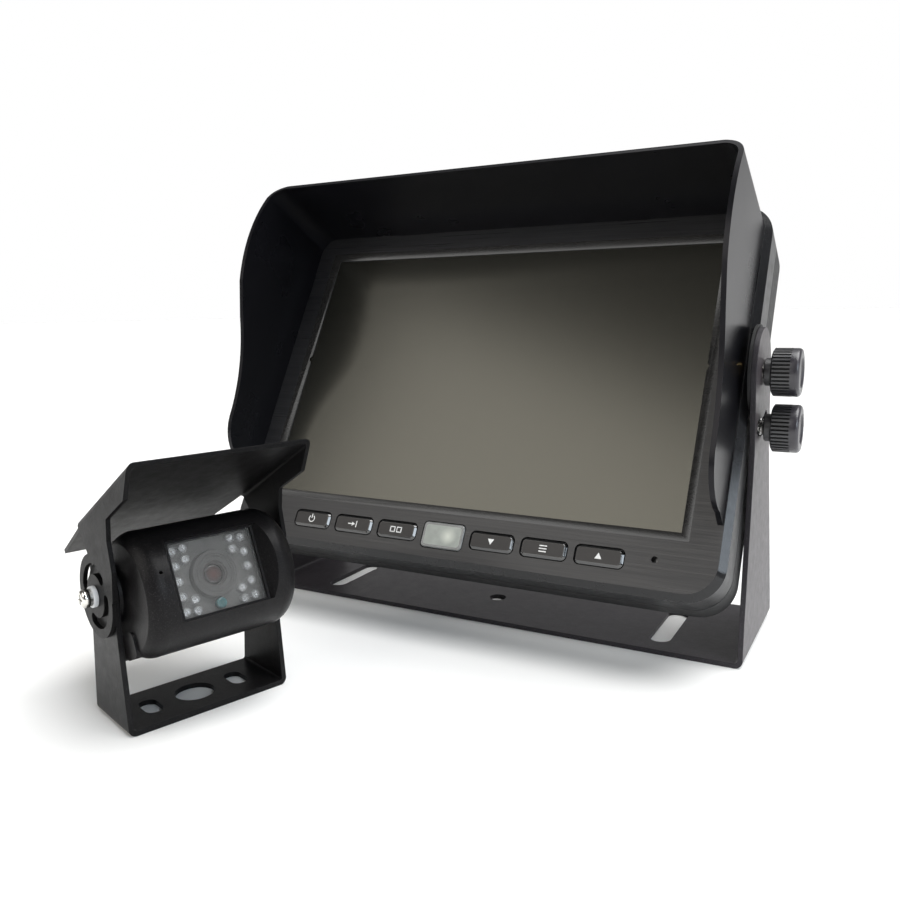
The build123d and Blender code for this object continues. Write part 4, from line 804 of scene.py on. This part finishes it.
# Reflector cup and chip inside each clear LED
cupLook = {
    "steps": 20, "foot": 0.1 * mm, "base": 0.5 * mm, "mouth": 1.15 * mm,
    "wide": 1.05 * mm, "narrow": 0.45 * mm, "wall": 0.1 * mm, "chip": 0.42 * mm,
}
cupProfile = [
    (cupLook["foot"], 0), (cupLook["foot"], cupLook["wide"]), (cupLook["mouth"], cupLook["wide"]),
    (cupLook["mouth"], cupLook["wide"] - cupLook["wall"]), (cupLook["base"], cupLook["narrow"]),
    (cupLook["base"], 0),
]
bm = bmesh.new()
for points in solidsOf("ir_leds"):
    part = turned(cupProfile, cupLook["steps"])
    chip = bmesh.ops.create_cube(part, size=cupLook["chip"])["verts"]
    bmesh.ops.translate(part, vec=(cupLook["base"] + 0.5 * cupLook["chip"], 0, 0), verts=chip)
    bmesh.ops.transform(part, matrix=facingOut(*boxIn(lensFrame, points)), verts=part.verts)
    holder = bpy.data.meshes.new("cupPart")
    part.to_mesh(holder)
    part.free()
    bm.from_mesh(holder)
    bpy.data.meshes.remove(holder)
putPiece(bm, "ledCups", "camera_head", ["cupSilver"], sharp=30)

# Split spring washers, their ends a little apart
springLook = {
    "inner": 1.4 * mm, "gap": radians(18), "steps": 48, "lift": 0.12 * mm,
    "turn": 2.2,      # radians from the camera's y axis to the split
}
for side, points in zip(("A", "B"), solidsOf("spring_washers")):
    low, high = boxIn(lensFrame, points)
    inner, outer = springLook["inner"], (high.y - low.y) / 2
    thick = high.x - low.x - springLook["lift"]
    bm = bmesh.new()
    corners = ((0, inner, 0), (thick, inner, 0), (thick, outer, 0), (0, outer, 0))
    section = bm.faces.new([bm.verts.new(c) for c in corners])
    bmesh.ops.spin(
        bm, geom=[section, *section.edges, *section.verts], cent=(0, 0, 0), axis=(1, 0, 0),
        angle=2 * pi - springLook["gap"], dvec=(springLook["lift"] / springLook["steps"], 0, 0),
        steps=springLook["steps"],
    )
    bmesh.ops.recalc_face_normals(bm, faces=bm.faces)
    place = lensFrame @ onAxisOf(low, high, low.x) @ Matrix.Rotation(springLook["turn"], 4, "X")
    bmesh.ops.transform(bm, matrix=place, verts=bm.verts)
    replaced = ["spring_washers"] if side == "A" else ()    # one node holds both
    putPiece(bm, "springWasher" + side, "camera_head", ["zincSteel"], replaced, sharp=30)
print("camera details made")

# Studio: a white floor and dome to be seen, and a sky for light, brightest low down behind the object
studioLook = {
    "floorSize": 12.0, "floorTint": (0.93, 0.93, 0.92), "floorRough": 0.9, "floorGloss": 0.1,
    "domeRadius": 12.0, "domePower": 1.0,
    "skyTurn": (-0.25, 0.85), "skyPower": (0.22, 1.0),      # from the front to the back
    "skyRise": (0.06, 0.3), "skyFade": (1, 0.3),            # from low to high
}


def putStage(bm, name, finish):
    mesh = bpy.data.meshes.new(name)
    bm.to_mesh(mesh)
    bm.free()
    mesh.materials.append(finish)
    staged = bpy.data.objects.new(name, mesh)
    bpy.context.scene.collection.objects.link(staged)
    return staged


floorFinish = bpy.data.materials.new("paleFloor")
floorFinish.use_nodes = True
floorShader = floorFinish.node_tree.nodes["Principled BSDF"]
floorShader.inputs["Base Color"].default_value = (*studioLook["floorTint"], 1)
floorShader.inputs["Roughness"].default_value = studioLook["floorRough"]
floorShader.inputs["Specular IOR Level"].default_value = studioLook["floorGloss"]
bm = bmesh.new()
bmesh.ops.create_grid(bm, x_segments=8, y_segments=8, size=studioLook["floorSize"])
putStage(bm, "floor", floorFinish)

domeFinish = bpy.data.materials.new("whiteDome")
domeFinish.use_nodes = True
domeFinish.node_tree.nodes.clear()
glow = addNode(domeFinish.node_tree, "ShaderNodeEmission", Strength=studioLook["domePower"])
shown = addNode(domeFinish.node_tree, "ShaderNodeOutputMaterial")
domeFinish.node_tree.links.new(glow.outputs["Emission"], shown.inputs["Surface"])
bm = bmesh.new()
bmesh.ops.create_uvsphere(bm, u_segments=48, v_segments=24, radius=studioLook["domeRadius"])
bmesh.ops.reverse_faces(bm, faces=bm.faces)
dome = putStage(bm, "dome", domeFinish)
for ray in ("diffuse", "glossy", "transmission", "volume_scatter", "shadow"):    # a backdrop, not a light
    setattr(dome, "visible_" + ray, False)

world = bpy.data.worlds.new("studio")
world.use_nodes = True
sky = world.node_tree.nodes["Background"]
heading = addNode(world.node_tree, "ShaderNodeTexCoord")
split = addNode(world.node_tree, "ShaderNodeSeparateXYZ")
world.node_tree.links.new(heading.outputs["Generated"], split.inputs["Vector"])
power = between(world.node_tree, split.outputs["Y"], studioLook["skyTurn"], studioLook["skyPower"])
fade = between(world.node_tree, split.outputs["Z"], studioLook["skyRise"], studioLook["skyFade"])
strength = addNode(world.node_tree, "ShaderNodeMath", operation="MULTIPLY")
world.node_tree.links.new(power, strength.inputs[0])
world.node_tree.links.new(fade, strength.inputs[1])
world.node_tree.links.new(strength.outputs["Value"], sky.inputs["Strength"])
sky.inputs["Color"].default_value = (1, 1, 1, 1)
bpy.context.scene.world = world
bpy.context.scene.view_settings.view_transform = "Standard"

lightLooks = {
    "frontSoftbox": {
        "at": (-0.5, -1.05, 0.8), "aim": (0, -0.03, 0.09),
        "size": 0.95, "power": 6.4, "tint": (1, 0.97, 0.92),
    },
    "rightSoftbox": {
        "at": (1.34, -0.12, 0.37), "aim": (0.09, -0.05, 0.035),
        "size": 0.3, "power": 1.5, "tint": (0.8, 0.9, 1),
    },
    "capSoftbox": {
        "at": (1.05, -0.6, 0.57), "aim": (0, -0.06, 0.035),
        "size": 0.5, "power": 4.8, "tint": (0.82, 0.91, 1),
    },
    "topSoftbox": {
        "at": (0.1, 0.5, 1.5), "aim": (0, -0.03, 0.05),
        "size": 1.2, "power": 3, "tint": (1, 1, 1),
    },
}


def putLamp(name, lamp, start, aim):    # lamps shine along their own -z
    holder = bpy.data.objects.new(name, lamp)
    holder.location = start
    holder.rotation_euler = (Vector(aim) - Vector(start)).to_track_quat("-Z", "Y").to_euler()
    bpy.context.scene.collection.objects.link(holder)


for name, look in lightLooks.items():
    lamp = bpy.data.lights.new(name, "AREA")
    lamp.size = look["size"]
    lamp.energy = look["power"]
    lamp.color = look["tint"]
    putLamp(name, lamp, look["at"], look["aim"])

sunLook = {"from": (0.35, 0.1, 0.93), "power": 3.3, "spread": 50}
sun = bpy.data.lights.new("wideSun", "SUN")
sun.energy = sunLook["power"]
sun.angle = radians(sunLook["spread"])
putLamp("wideSun", sun, sunLook["from"], (0, 0, 0))

# Camera, close in front and to the right, at the height of the screen
cameraLook = {
    "at": (0.13434, -0.28179, 0.11099), "turn": 29.05, "down": 9.63, "roll": -1.02,
    "lens": 33.753, "sensor": 36.0, "near": 0.01,
}
turn, down, roll = (radians(cameraLook[k]) for k in ("turn", "down", "roll"))
forward = Vector((-sin(turn) * cos(down), cos(turn) * cos(down), -sin(down)))
right = Vector((cos(turn), sin(turn), 0))
up = right.cross(forward)
rightRolled = right * cos(roll) + up * sin(roll)
upRolled = -right * sin(roll) + up * cos(roll)
cameraData = bpy.data.cameras.new("viewCamera")
cameraData.lens = cameraLook["lens"]
cameraData.sensor_width = cameraLook["sensor"]
cameraData.clip_start = cameraLook["near"]
viewCamera = bpy.data.objects.new("viewCamera", cameraData)
bpy.context.scene.collection.objects.link(viewCamera)
viewCamera.matrix_world = (
    Matrix.Translation(Vector(cameraLook["at"]))
    @ Matrix((rightRolled, upRolled, -forward)).transposed().to_4x4()
)
bpy.context.scene.camera = viewCamera
print("studio and camera set")

bpy.context.view_layer.update()
